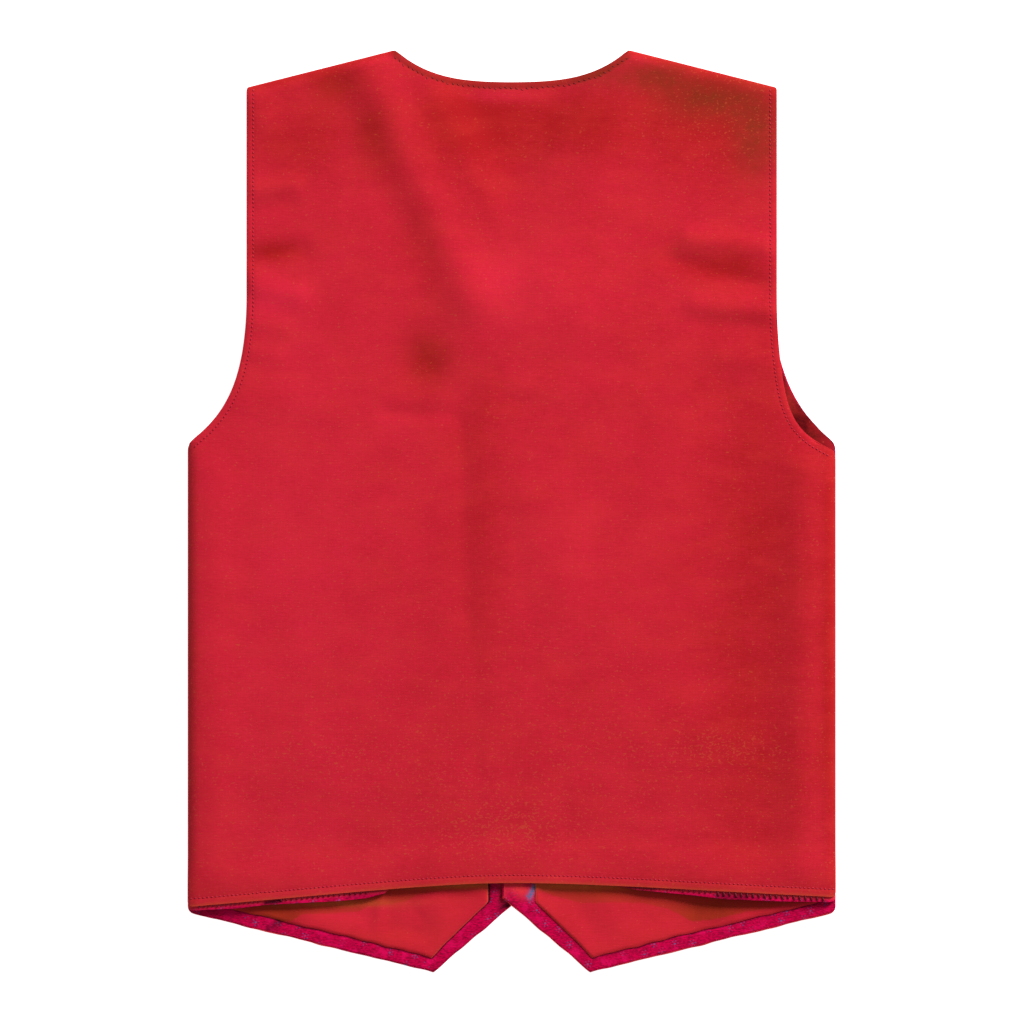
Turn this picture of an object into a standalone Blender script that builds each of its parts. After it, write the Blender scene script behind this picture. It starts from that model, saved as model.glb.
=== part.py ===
"""A waistcoat laid face down on a table, seen back uppermost.

The two fronts lie on the table with their good side down, the wearer's left one at -X. The right front laps over
the left one at the centre. A shaped facing lies round the hem, the cutaway, the front edge and the V neck of each
front, and a lining laps over the facing's inner edge. The back lies over them all, joined along the side seams and
the shoulders, with a facing strip under its hem. Metres, +Z up, +Y towards the neck, the origin in the middle of
the footprint on the table.
"""

import math
from collections import namedtuple

import bmesh
import bpy

MM = 0.001

# Cloths, and the room that each layer keeps to the next one
Cloth = namedtuple("Cloth", "thickness colour roughness")
FRONT_BROCADE = Cloth(1.0 * MM, (0.45, 0.012, 0.07), 0.55)
FACING_BROCADE = Cloth(1.0 * MM, (0.49, 0.009, 0.075), 0.5)
LINING_COTTON = Cloth(1.0 * MM, (0.53, 0.02, 0.03), 0.6)
BACK_COTTON = Cloth(1.2 * MM, (0.54, 0.02, 0.028), 0.6)
SEAM_GAP = 0.3 * MM
LAYER = FRONT_BROCADE.thickness + SEAM_GAP
NEARLY = 0.1 * MM

# Outline of the whole garment as it lies
CHEST_HALF = 250.0 * MM
LENGTH_HALF = 356.0 * MM
NECK_HALF = 90.0 * MM
NECK_DEPTH = 24.8 * MM
NECK_ROUND_SHARE = 0.35
SHOULDER_TIP_Y = 327.0 * MM
ARMHOLE_STRAIGHT_Y = 165.0 * MM

# Back hem: its middle, and how far it falls to each side seam
BACK_HEM_Y = -286.6 * MM
BACK_HEM_FALL_LEFT = 18.6 * MM
BACK_HEM_FALL_RIGHT = 11.0 * MM
BACK_HEM_SOFTNESS = 0.25

# Fronts
FRONT_SIDE_Y = -309.8 * MM
POINT_X = 60.5 * MM
CUTAWAY_TOP_Y = -298.2 * MM
OVERLAP_HALF = 7.5 * MM
V_BREAK_Y = 150.0 * MM

# Rows where a front's grid changes its slant, and how far they lie above the armhole's base and the V's start
HEM_FAN_SIDE_Y = -255.0 * MM
BASE_ROW_OPEN_Y = 118.0 * MM
V_ROW_ABOVE_BASE = 24.0 * MM
CURVE_ROW_ABOVE_BASE = 64.0 * MM
CURVE_ROW_ABOVE_V = 36.0 * MM

# Facing of a front: its width along the hem, where the cutaway starts and ends, and along the front edge
FACING_HEM = 11.0 * MM
FACING_CORNER = 18.4 * MM
FACING_EDGE = 26.0 * MM
FACING_LAP = 3.0 * MM
LINING_FOOT = 5.0 * MM

# Lining: how far it stops short of the side seam, the armhole edge and the shoulder seam
LINING_SIDE_INSET = 10.0 * MM
LINING_ARMHOLE_INSET = 1.5 * MM
SHOULDER_INSET = 10.5 * MM

# Right front: how it climbs over the left one
OVERLAP_RISE = FRONT_BROCADE.thickness + FACING_BROCADE.thickness + 2 * SEAM_GAP
RISE_MARGIN = 6.0 * MM
RISE_RAMP = 10.0 * MM

# Back: height of its underside over the table
BACK_OVER_LINING = 3.95 * MM
BACK_LEVEL = 4.4 * MM
BACK_HIGHEST = 6.1 * MM
BACK_OVER_OVERLAP = 5.5 * MM
BACK_IN_V_NECK = 1.2 * MM
BACK_AT_ARMHOLE = 2.7 * MM
BACK_AT_SEAM = LAYER
BACK_AT_HEM_CORNER = 3.95 * MM
SEAM_ROLL = 9.0 * MM
ARMHOLE_ROLL = 12.0 * MM
HEM_BAND = 14.0 * MM
HEM_BAND_FADE = 26.0 * MM

# Back over the fronts' overlap, with a steep left flank and a long right one that fade out towards the neck
OVERLAP_LEFT_FOOT = -46.0 * MM
OVERLAP_LEFT_FLANK = 30.0 * MM
OVERLAP_RIGHT_FOOT = 82.0 * MM
OVERLAP_RIGHT_FLANK = 56.0 * MM
OVERLAP_TOP_Y = V_BREAK_Y + 60.0 * MM
OVERLAP_TOP_FADE = 40.0 * MM

# Back between the V neck's edges: the ledge where it still lies on a front, and the slope down to the middle
V_NECK_LEDGE = 8.0 * MM
V_NECK_SLOPE = 34.0 * MM

# An armhole edge: its half width at the shoulder, the height of its base, the share of the wide part of its curve,
# and the power of the tight part
Armhole = namedtuple("Armhole", "edge_x base_y wide_share tight_power")
BACK_LEFT_ARMHOLE = Armhole(204.5 * MM, 52.7 * MM, 0.50, 5)
BACK_RIGHT_ARMHOLE = Armhole(204.5 * MM, 46.5 * MM, 0.35, 9)
FRONT_LEFT_ARMHOLE = Armhole(201.5 * MM, 50.0 * MM, 0.50, 5)
FRONT_RIGHT_ARMHOLE = Armhole(201.5 * MM, 52.7 * MM, 0.65, 5)

# The largest folds of the back: the two ends of each crest or trough, its half width and its height
Fold = namedtuple("Fold", "name x0 y0 x1 y1 half_width height")
FOLDS = (
    Fold("left V neck crest", -98, 348, -26, 184, 20, 1.5),
    Fold("right V neck crest", 98, 348, 26, 184, 20, 1.2),
    Fold("shelf under the V", -18, 160, 52, 150, 34, 1.2),
    Fold("left shoulder trough", -140, 325, -85, 235, 20, -0.4),
    Fold("dimple beside the V", -63, 119, -60, 117, 18, -0.8),
    Fold("waist trough", -95, 76, -30, 72, 12, -0.4),
    Fold("left side crest", -232, 30, -232, -270, 16, 1.3),
    Fold("right side crest", 226, 30, 222, -270, 20, 1.6),
    Fold("right side trough", 165, 80, 168, -130, 34, -0.4),
    Fold("left armhole pucker", -196, 238, -160, 246, 11, 0.8),
    Fold("left lower armhole pucker", -196, 176, -165, 168, 12, 0.7),
    Fold("right armhole pucker", 138, 212, 192, 206, 11, 0.9),
    Fold("right lower armhole pucker", 142, 164, 194, 156, 12, 0.8),
    Fold("left hem lift", -205, -296, -165, -292, 30, 1.4),
    Fold("right hem lift", 160, -288, 195, -290, 30, 1.4),
)

# How far the strip under the back hem shows below the hem's edge
Peek = namedtuple("Peek", "x below")
STRIP_PEEK = (
    Peek(-250, 3.0),
    Peek(-211, 4.6),
    Peek(-190, 3.8),
    Peek(-132, 6.0),
    Peek(-112, 5.6),
    Peek(-98, 3.0),
    Peek(-92, -2.0),
    Peek(66, -2.0),
    Peek(96, 2.5),
    Peek(140, 4.5),
    Peek(165, 6.0),
    Peek(205, 5.5),
    Peek(250, 4.0),
)
HEM_TURN = 4.0 * MM

# Places of the back's columns, as shares of its half width, and of its rows along each stretch of its sides
SIDE_SEAM = 350.0 * MM
BACK_COLUMNS = (0.07, 0.14, 0.21, 0.28, 0.36, NECK_HALF / BACK_LEFT_ARMHOLE.edge_x,
                0.52, 0.61, 0.70, 0.79, 0.87, 0.93, 0.965, 0.985, 1.0)
BACK_SIDE_ROWS = (0.0, HEM_BAND / SIDE_SEAM, 0.07, 0.11, 0.18, 0.26, 0.34, 0.42, 0.50, 0.58, 0.66, 0.74, 0.82,
                  0.89, 0.95, 1.0)
BACK_CURVE_ROWS = (0.04, 0.10, 0.18, 0.30, 0.46, 0.70, 1.0)
BACK_UPPER_ROWS = (0.16, 0.32, 0.48, 0.62, 0.74, 0.84, 0.91, 0.96, 1.0)


def clamp(value, low=0.0, high=1.0):
    return max(low, min(high, value))


def soft_step(value):
    t = clamp(value)
    return t * t * (3 - 2 * t)


def blend(a, b, t):
    return a + (b - a) * t


def to_segment(x, y, x0, y0, x1, y1):
    """Distance from a point to a straight stretch."""
    along_x = x1 - x0
    along_y = y1 - y0
    t = clamp(((x - x0) * along_x + (y - y0) * along_y) / (along_x ** 2 + along_y ** 2))
    return math.hypot(x - x0 - t * along_x, y - y0 - t * along_y)


def armhole_x(armhole, y):
    """Half width of a panel at a height: the side seam, then the armhole's curve, then its straight part."""
    if y <= armhole.base_y:
        return CHEST_HALF
    s = clamp((ARMHOLE_STRAIGHT_Y - y) / (ARMHOLE_STRAIGHT_Y - armhole.base_y))
    curve = armhole.wide_share * s ** 2 + (1 - armhole.wide_share) * s ** armhole.tight_power
    return blend(armhole.edge_x, CHEST_HALF, curve)


def shoulder_y(x):
    """Height of the shoulder seam, which runs straight from the neck point to the shoulder tip."""
    return blend(LENGTH_HALF, SHOULDER_TIP_Y, (abs(x) - NECK_HALF) / (BACK_LEFT_ARMHOLE.edge_x - NECK_HALF))


def back_top_y(x):
    if abs(x) >= NECK_HALF:
        return shoulder_y(x)
    s = abs(x) / NECK_HALF
    return LENGTH_HALF - NECK_DEPTH * (1 - NECK_ROUND_SHARE * s ** 2 - (1 - NECK_ROUND_SHARE) * s ** 4)


def back_hem_y(x):
    fall = BACK_HEM_FALL_LEFT if x < 0 else BACK_HEM_FALL_RIGHT
    s = abs(x) / CHEST_HALF
    soft = BACK_HEM_SOFTNESS
    return BACK_HEM_Y - fall * (math.hypot(s, soft) - soft) / (math.hypot(1, soft) - soft)


def new_object(name, bm, cloth):
    mesh = bpy.data.meshes.new(name)
    bm.to_mesh(mesh)
    bm.free()
    material = bpy.data.materials.new(name + "_cloth")
    material.use_nodes = True
    shader = material.node_tree.nodes["Principled BSDF"]
    shader.inputs["Base Color"].default_value = (*cloth.colour, 1.0)
    shader.inputs["Roughness"].default_value = cloth.roughness
    shader.inputs["Metallic"].default_value = 0.0
    mesh.materials.append(material)
    thing = bpy.data.objects.new(name, mesh)
    bpy.context.scene.collection.objects.link(thing)
    return thing


def cloth_wall(name, lower, cells, cloth):
    """A cloth's wall of even thickness over the cells of a grid of points, which are its underside."""
    bm = bmesh.new()
    corners = {}
    for row, column in cells:
        for at in ((row, column), (row, column + 1), (row + 1, column + 1), (row + 1, column)):
            if at not in corners:
                corners[at] = bm.verts.new(lower[at])
    for row, column in cells:
        bm.faces.new((corners[row, column], corners[row, column + 1],
                      corners[row + 1, column + 1], corners[row + 1, column]))
    bmesh.ops.triangulate(bm, faces=bm.faces[:], quad_method="FIXED")
    raised = bmesh.ops.extrude_face_region(bm, geom=bm.faces[:], use_keep_orig=True)
    top = [item for item in raised["geom"] if isinstance(item, bmesh.types.BMVert)]
    bmesh.ops.translate(bm, verts=top, vec=(0, 0, cloth.thickness))
    bmesh.ops.recalc_face_normals(bm, faces=bm.faces[:])
    return new_object(name, bm, cloth)


def lifted(points, cells, height):
    """The grid's points that some cells use, moved up by a height that may differ from point to point."""
    used = {(r + i, c + j) for r, c in cells for i in (0, 1) for j in (0, 1)}
    return {at: (points[at][0], points[at][1], points[at][2] + height(at)) for at in used}


def rows_between(start, end, count, ease=1.0):
    """Pairs of heights, at the side and at the open edge, for the rows of one stretch."""
    return [(blend(start[0], end[0], (k / count) ** ease), blend(start[1], end[1], k / count))
            for k in range(1, count + 1)]


def open_edge_x(y):
    """The cutaway, front edge and V neck of the left front; the right front's is its mirror image."""
    if y <= CUTAWAY_TOP_Y:
        return blend(-POINT_X, OVERLAP_HALF, (y + LENGTH_HALF) / (CUTAWAY_TOP_Y + LENGTH_HALF))
    if y <= V_BREAK_Y:
        return OVERLAP_HALF
    return blend(OVERLAP_HALF, -NECK_HALF, (y - V_BREAK_Y) / (LENGTH_HALF - V_BREAK_Y))


def facing_width(y):
    """Width of the facing that shows beside the open edge, at the height of that edge."""
    cross_y = blend(CUTAWAY_TOP_Y, -LENGTH_HALF, OVERLAP_HALF / (POINT_X + OVERLAP_HALF))
    if y <= cross_y:
        return blend(FACING_HEM, FACING_CORNER, (y + LENGTH_HALF) / (cross_y + LENGTH_HALF))
    return blend(FACING_CORNER, FACING_EDGE, clamp((y - cross_y) / (CUTAWAY_TOP_Y - cross_y)))


def front_rows(armhole):
    """Heights of a front's rows at its side and at its open edge, and the numbers of the named rows."""
    hem_slope = (LENGTH_HALF + FRONT_SIDE_Y) / (CHEST_HALF - POINT_X)
    cut_slope = (CUTAWAY_TOP_Y + LENGTH_HALF) / (POINT_X + OVERLAP_HALF)
    side_share = 1 / math.cos(math.atan(hem_slope))
    cut_share = math.sin(math.atan(cut_slope)) / math.sin(math.atan(hem_slope) + math.atan(cut_slope))
    rows = [(FRONT_SIDE_Y, -LENGTH_HALF)]
    for width in (FACING_HEM, FACING_HEM + FACING_LAP, FACING_HEM + FACING_LAP + LINING_FOOT):
        rows.append((FRONT_SIDE_Y + width * side_share, -LENGTH_HALF + width * cut_share))
    for end, count, ease in (
        ((HEM_FAN_SIDE_Y, CUTAWAY_TOP_Y), 9, 1.0),
        ((armhole.base_y, BASE_ROW_OPEN_Y), 6, 1.0),
        ((armhole.base_y + V_ROW_ABOVE_BASE, V_BREAK_Y), 5, 1.5),
        ((armhole.base_y + CURVE_ROW_ABOVE_BASE, V_BREAK_Y + CURVE_ROW_ABOVE_V), 6, 1.0),
        ((SHOULDER_TIP_Y - SHOULDER_INSET, LENGTH_HALF - SHOULDER_INSET), 6, 1.0),
        ((SHOULDER_TIP_Y, LENGTH_HALF), 1, 1.0),
    ):
        rows += rows_between(rows[-1], end, count, ease)
    return rows


# Columns of a front, counted from its side seam, and rows, counted from its hem
LINING_COLUMNS = 4
FACING_COLUMNS = 3
LINING_SIDE_COLUMN = 1
FACING_INNER_COLUMN = LINING_SIDE_COLUMN + LINING_COLUMNS + 1
LINING_EDGE_COLUMN = FACING_INNER_COLUMN + 1
OPEN_EDGE_COLUMN = LINING_EDGE_COLUMN + FACING_COLUMNS
LINING_EDGE_ROW = 1
FACING_INNER_ROW = 2


def front_points(sign, armhole):
    """Underside of a front on a grid of rows, from its side seam and armhole to its open edge."""
    points = {}
    rows = front_rows(armhole)
    for row, (side_y, open_y) in enumerate(rows):
        side_x = -armhole_x(armhole, side_y)
        open_x = open_edge_x(open_y)
        length = math.hypot(open_x - side_x, open_y - side_y)
        inset = LINING_SIDE_INSET if side_y <= armhole.base_y + NEARLY else LINING_ARMHOLE_INSET
        width = facing_width(open_y)
        foot = length - width - FACING_LAP - LINING_FOOT
        places = [0.0] + [blend(inset, foot, k / LINING_COLUMNS) for k in range(LINING_COLUMNS + 1)]
        places += [length - width - FACING_LAP]
        places += [blend(length - width, length, k / FACING_COLUMNS) for k in range(FACING_COLUMNS + 1)]
        for column, place in enumerate(places):
            x = blend(side_x, open_x, place / length)
            y = blend(side_y, open_y, place / length)
            points[row, column] = (-sign * x, y, overlap_rise(-sign * x, y) if sign > 0 else 0.0)
    return points, len(rows)


def overlap_rise(x, y):
    """Height of the right front's underside: it climbs over the left front's open edge."""
    if x <= open_edge_x(y):
        return OVERLAP_RISE
    corners = [(open_edge_x(at), at) for at in (-LENGTH_HALF, CUTAWAY_TOP_Y, V_BREAK_Y, LENGTH_HALF)]
    away = min(to_segment(x, y, *a, *b) for a, b in zip(corners, corners[1:]))
    return OVERLAP_RISE * clamp(1 - (away - RISE_MARGIN) / RISE_RAMP)


def build_front(side, sign, armhole):
    """A front, its facing and its lining, the last two made from the front's own points."""
    points, count = front_points(sign, armhole)
    last = count - 2
    all_cells = [(r, c) for r in range(count - 1) for c in range(OPEN_EDGE_COLUMN)]
    cloth_wall("front_" + side, points, all_cells, FRONT_BROCADE)

    facing_cells = [(r, c) for r, c in all_cells
                    if r < last and (r < FACING_INNER_ROW or c >= FACING_INNER_COLUMN)]
    facing = lifted(points, facing_cells, lambda at: LAYER)
    cloth_wall("front_" + side + "_facing", facing, facing_cells, FACING_BROCADE)

    lining_cells = [(r, c) for r, c in all_cells
                    if LINING_EDGE_ROW <= r < last and LINING_SIDE_COLUMN <= c < LINING_EDGE_COLUMN]

    def over_facing(at):
        on_facing = at[0] <= FACING_INNER_ROW or at[1] >= FACING_INNER_COLUMN
        return 2 * LAYER if on_facing else LAYER

    lining = lifted(points, lining_cells, over_facing)
    cloth_wall("front_" + side + "_lining", lining, lining_cells, LINING_COTTON)


def fold_height(x, y):
    total = 0.0
    for fold in FOLDS:
        away = to_segment(x, y, fold.x0 * MM, fold.y0 * MM, fold.x1 * MM, fold.y1 * MM)
        total += fold.height * MM * math.exp(-((away / (fold.half_width * MM)) ** 2))
    return total


def over_overlap(x, y):
    """Least height of the back over the fronts' overlap."""
    left = soft_step((x - OVERLAP_LEFT_FOOT) / OVERLAP_LEFT_FLANK)
    right = soft_step((OVERLAP_RIGHT_FOOT - x) / OVERLAP_RIGHT_FLANK)
    fade = soft_step((OVERLAP_TOP_Y - y) / OVERLAP_TOP_FADE)
    return blend(BACK_OVER_LINING, BACK_OVER_OVERLAP, min(left, right) * fade)


def v_neck_share(x, y):
    """How far the back has sunk between the two fronts' V neck edges, from 0 to 1."""
    half_width = -open_edge_x(max(y, V_BREAK_Y))
    return soft_step((half_width - abs(x) - V_NECK_LEDGE) / V_NECK_SLOPE)


def back_height(x, y, above_hem, to_side, to_armhole, to_shoulder):
    """Height of the back's underside, from the distances to its hem, side seam, armhole and shoulder seam."""
    height = clamp(BACK_LEVEL + fold_height(x, y), BACK_OVER_LINING, BACK_HIGHEST)
    height = max(height, over_overlap(x, y))
    height = blend(height, BACK_IN_V_NECK, v_neck_share(x, y))
    hem_share = 1 - soft_step((above_hem - HEM_BAND) / HEM_BAND_FADE)
    height += LAYER * hem_share
    if to_side is not None:
        seam = blend(BACK_AT_SEAM, BACK_AT_HEM_CORNER, hem_share)
        height = rolled(height, seam, to_side / SEAM_ROLL)
    if to_armhole is not None:
        height = rolled(height, BACK_AT_ARMHOLE, to_armhole / ARMHOLE_ROLL)
    if to_shoulder is not None:
        height = rolled(height, BACK_AT_SEAM, to_shoulder / SEAM_ROLL)
    return height


def rolled(height, edge, share):
    """A round edge: a quarter of an ellipse from the edge's height up to the cloth's."""
    t = clamp(share)
    return blend(min(edge, height), height, math.sqrt(1 - (1 - t) ** 2))


def back_side_rows(armhole, hem_corner_y):
    """Points down one side of the back: along the side seam, the armhole's curve and its straight part."""
    heights = [blend(hem_corner_y, armhole.base_y, t) for t in BACK_SIDE_ROWS]
    heights += [blend(armhole.base_y, ARMHOLE_STRAIGHT_Y, t) for t in BACK_CURVE_ROWS]
    heights += [blend(ARMHOLE_STRAIGHT_Y, SHOULDER_TIP_Y, t) for t in BACK_UPPER_ROWS]
    return [(armhole_x(armhole, y), y) for y in heights]


def back_points():
    """Underside of the back on a grid between its hem, its two sides and its shoulders and neck."""
    left = back_side_rows(BACK_LEFT_ARMHOLE, back_hem_y(-CHEST_HALF))
    right = back_side_rows(BACK_RIGHT_ARMHOLE, back_hem_y(CHEST_HALF))
    columns = [-share for share in reversed(BACK_COLUMNS)] + [0.0] + list(BACK_COLUMNS)
    points = {}
    for row, ((left_x, left_y), (right_x, right_y)) in enumerate(zip(left, right)):
        up = (left_y - left[0][1]) / (SHOULDER_TIP_Y - left[0][1])
        on_side = row < len(BACK_SIDE_ROWS)
        for column, share in enumerate(columns):
            across = (share + 1) / 2
            x = blend(-left_x, right_x, across)
            hem_y = back_hem_y(share * CHEST_HALF)
            top_y = back_top_y(share * BACK_LEFT_ARMHOLE.edge_x)
            sides_y = blend(left_y, right_y, across)
            corners_y = blend(blend(left[0][1], right[0][1], across), SHOULDER_TIP_Y, up)
            y = blend(hem_y, top_y, up) + sides_y - corners_y
            to_edge = min(x + left_x, right_x - x)
            on_shoulder = abs(share) * BACK_LEFT_ARMHOLE.edge_x >= NECK_HALF - NEARLY
            z = back_height(x, y, y - back_hem_y(x), to_edge if on_side else None,
                            None if on_side else to_edge,
                            shoulder_y(x) - y if on_shoulder else None)
            points[row, column] = (x, y, z)
    return points, len(left), len(columns)


def peek_below(x):
    """How far the back's facing shows below the hem, read between the rows of its table."""
    for near, far in zip(STRIP_PEEK, STRIP_PEEK[1:]):
        if x <= far.x * MM or far is STRIP_PEEK[-1]:
            return MM * blend(near.below, far.below, clamp((x / MM - near.x) / (far.x - near.x)))


def build_back():
    """The back, and the strip under its hem, made from the back's own points."""
    points, row_count, column_count = back_points()
    cells = [(r, c) for r in range(row_count - 1) for c in range(column_count - 1)]
    cloth_wall("back", points, cells, BACK_COTTON)

    strip = {}
    for column in range(column_count):
        x, y, z = points[0, column]
        strip[0, column] = (x, y - peek_below(x), z - LAYER)
        strip[1, column] = (x, y + HEM_TURN, z - LAYER)
        upper_x, upper_y, upper_z = points[1, column]
        strip[2, column] = (upper_x, upper_y, upper_z - LAYER)
    strip_cells = [(r, c) for r in range(2) for c in range(column_count - 1)]
    cloth_wall("back_hem_facing", strip, strip_cells, FACING_BROCADE)


for thing in list(bpy.data.objects):
    bpy.data.objects.remove(thing, do_unlink=True)
build_front("left", -1, FRONT_LEFT_ARMHOLE)
build_front("right", 1, FRONT_RIGHT_ARMHOLE)
build_back()
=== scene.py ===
"""A red waistcoat laid face down on a white table: its cloths, turned edges, seams and threads.

Metres, +Z up, +Y towards the neck, +X towards the wearer's right side.
"""

import math
from collections import namedtuple
from functools import partial

import bmesh
import bpy
from mathutils import Matrix, Vector, noise
from mathutils.bvhtree import BVHTree
from mathutils.kdtree import KDTree


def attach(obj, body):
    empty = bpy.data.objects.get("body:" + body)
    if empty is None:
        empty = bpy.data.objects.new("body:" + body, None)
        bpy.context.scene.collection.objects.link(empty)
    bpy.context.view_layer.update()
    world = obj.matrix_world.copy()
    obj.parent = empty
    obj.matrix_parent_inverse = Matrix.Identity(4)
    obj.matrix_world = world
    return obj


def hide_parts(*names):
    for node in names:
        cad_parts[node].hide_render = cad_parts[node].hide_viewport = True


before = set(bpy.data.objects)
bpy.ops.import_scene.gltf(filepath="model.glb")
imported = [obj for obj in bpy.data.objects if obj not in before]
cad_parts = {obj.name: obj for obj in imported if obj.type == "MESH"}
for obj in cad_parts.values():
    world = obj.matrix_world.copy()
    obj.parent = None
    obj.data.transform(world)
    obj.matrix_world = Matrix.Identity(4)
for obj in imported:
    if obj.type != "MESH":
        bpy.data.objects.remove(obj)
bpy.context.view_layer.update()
scene = bpy.context.scene
MM = 0.001


# Table, light and camera
# A matt white table top that glows faintly, as a light table does, under one large soft lamp at the upper
# right, with an even white room as fill. From below it can be seen through. The camera looks straight down.
TABLE_HALF = 3.0
TABLE_Z = -0.3 * MM
TABLE_WHITE = "#F0F0F0"
TABLE_GLOW = 0.98
LAMP_AZIMUTH = math.radians(50)
LAMP_HEIGHT = math.radians(30)
LAMP_AWAY = 5.0
LAMP_SIDE = 1.8
LAMP_WATTS = 450.0
ROOM_LIGHT = 0.32
LENS = 200.0
SENSOR = 36.0
FRAME_WIDTH = 790.1 * MM
FRAME_CENTRE = Vector((0.2, -0.6, 3.0)) * MM


def linear(hex_colour):
    """An sRGB hex value as a linear colour."""
    parts = [int(hex_colour[at:at + 2], 16) / 255 for at in (1, 3, 5)]
    return (*[part / 12.92 if part <= 0.04045 else ((part + 0.055) / 1.055) ** 2.4 for part in parts], 1.0)


def add_node(tree, kind, inputs, output=0, **settings):
    """Adds a node with its settings and inputs, each a value or another's output, and gives one output."""
    node = tree.nodes.new("ShaderNode" + kind)
    for name, value in settings.items():
        setattr(node, name, value)
    for name, value in inputs.items():
        if isinstance(value, bpy.types.NodeSocket):
            tree.links.new(value, node.inputs[name])
        else:
            node.inputs[name].default_value = value
    return node.outputs[output] if node.outputs else None


def new_material(name):
    """An empty material, and add_node for its node tree."""
    material = bpy.data.materials.new(name)
    material.use_nodes = True
    material.node_tree.nodes.clear()
    return material, partial(add_node, material.node_tree)


table_paint, node = new_material("white_light_table")
paint = node("BsdfPrincipled", {"Base Color": linear(TABLE_WHITE), "Roughness": 0.9,
                                "Emission Color": linear(TABLE_WHITE), "Emission Strength": TABLE_GLOW})
from_below = node("NewGeometry", {}, "Backfacing")
clear = node("BsdfTransparent", {})
node("OutputMaterial", {"Surface": node("MixShader", {0: from_below, 1: paint, 2: clear})})

table_bm = bmesh.new()
bmesh.ops.create_grid(table_bm, x_segments=1, y_segments=1, size=TABLE_HALF)
bmesh.ops.translate(table_bm, verts=table_bm.verts[:], vec=(0, 0, TABLE_Z))
table_mesh = bpy.data.meshes.new("table_top")
table_bm.to_mesh(table_mesh)
table_bm.free()
table_mesh.materials.append(table_paint)
table = bpy.data.objects.new("table_top", table_mesh)
scene.collection.objects.link(table)

room = bpy.data.worlds.new("white_room")
room.use_nodes = True
room.node_tree.nodes["Background"].inputs["Color"].default_value = (1, 1, 1, 1)
room.node_tree.nodes["Background"].inputs["Strength"].default_value = ROOM_LIGHT
scene.world = room

lamp_data = bpy.data.lights.new("soft_lamp", "AREA")
lamp_data.size = LAMP_SIDE
lamp_data.energy = LAMP_WATTS
lamp = bpy.data.objects.new("soft_lamp", lamp_data)
lamp.location = LAMP_AWAY * Vector((math.cos(LAMP_HEIGHT) * math.cos(LAMP_AZIMUTH),
                                    math.cos(LAMP_HEIGHT) * math.sin(LAMP_AZIMUTH), math.sin(LAMP_HEIGHT)))
lamp.rotation_euler = lamp.location.to_track_quat("Z", "Y").to_euler()
lamp.visible_camera = False
scene.collection.objects.link(lamp)

camera_data = bpy.data.cameras.new("camera")
camera_data.lens = LENS
camera_data.sensor_width = SENSOR
camera_data.clip_end = 50.0
camera = bpy.data.objects.new("camera", camera_data)
camera.location = FRAME_CENTRE + Vector((0, 0, FRAME_WIDTH * LENS / SENSOR))
scene.collection.objects.link(camera)
scene.camera = camera
scene.view_settings.view_transform = "Standard"


# Fronts
# Two panels of crimson jacquard brocade, good side down, the right one lapped over the left one at the
# centre. Their hems, cutaways and front edges are sewn to the facings and turned, so a narrow roll of the
# front shows as a rim.
CHEST_HALF = 250.0 * MM
LENGTH_HALF = 356.0 * MM
NECK_HALF = 90.0 * MM
SHOULDER_TIP_Y = 327.0 * MM
SHOULDER_TIP_X = 204.5 * MM
ARMHOLE_STRAIGHT_Y = 165.0 * MM
FRONT_SIDE_Y = -309.8 * MM
POINT_X = 60.5 * MM
CUTAWAY_TOP_Y = -298.2 * MM
OVERLAP_HALF = 7.5 * MM
V_BREAK_Y = 150.0 * MM
CLOTH = 1.0 * MM
LAYER = 1.3 * MM
OVERLAP_RISE = 2 * LAYER
RISE_MARGIN = 6.0 * MM
RISE_RAMP = 10.0 * MM
RIM_STEPS = (0.0, 0.3, 0.6, 0.95, 1.2, 1.3)
RIM_HEIGHTS = (1.3, 1.9, 2.2, 2.25, 2.1, 1.0)
FACING_HEM = 11.0 * MM
FACING_CORNER = 18.4 * MM
FACING_EDGE = 26.0 * MM
FACING_LAP = 3.0 * MM
LINING_FOOT = (2.0, 4.5, 7.5, 11.0, 15.0)
LINING_SIDE_INSET = 10.0 * MM
LINING_ARMHOLE_INSET = 1.5 * MM
SHOULDER_INSET = 10.5 * MM
ACROSS = 88
FACING_ACROSS = 10
SIDE_CORNER = 4.0 * MM
SIDE_STEPS = (0.0, 0.06, 0.16, 0.3, 0.55)
NECK_POINT_BLUNT = 0.7 * MM
TIP_ROUND = 1.5 * MM
TIP_REACH = 5.5 * MM
WAVER = 0.9 * MM
WAVER_LENGTH = 13.0 * MM
EDGE_ROUND = 0.3 * MM
RIM = len(RIM_STEPS) - 1
Armhole = namedtuple("Armhole", "edge_x base_y wide_share tight_power")
LEFT_FRONT_ARMHOLE = Armhole(201.5 * MM, 50.0 * MM, 0.50, 5)
RIGHT_FRONT_ARMHOLE = Armhole(201.5 * MM, 52.7 * MM, 0.65, 5)
# Steps of a front's rows in millimetres: up from its hem, and on the facing beside the lining
HEM_STEPS = (3.5, 6.5)
BESIDE_LINING = (0.6, 1.4)
# Further runs of rows: the height in millimetres that each ends at, at the side and at the open edge, and
# its number of rows. In the second table the side's heights are from the armhole's base.
LOW_RUNS = ((-255.0, -298.2, 18), (-241.0, -284.2, 8))
ARMHOLE_RUNS = ((-7.5, 112.0, 42), (-6.0, 113.5, 1), (0.0, 118.0, 2), (24.0, 150.0, 14), (64.0, 186.0, 12))
SHOULDER_ROWS = 22
INSET_ROWS = 3
# Height above the armhole's base where the lining's side inset ends, at the left and the right
SIDE_INSET_END = {-1: 1.0 * MM, 1: -7.0 * MM}
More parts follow.
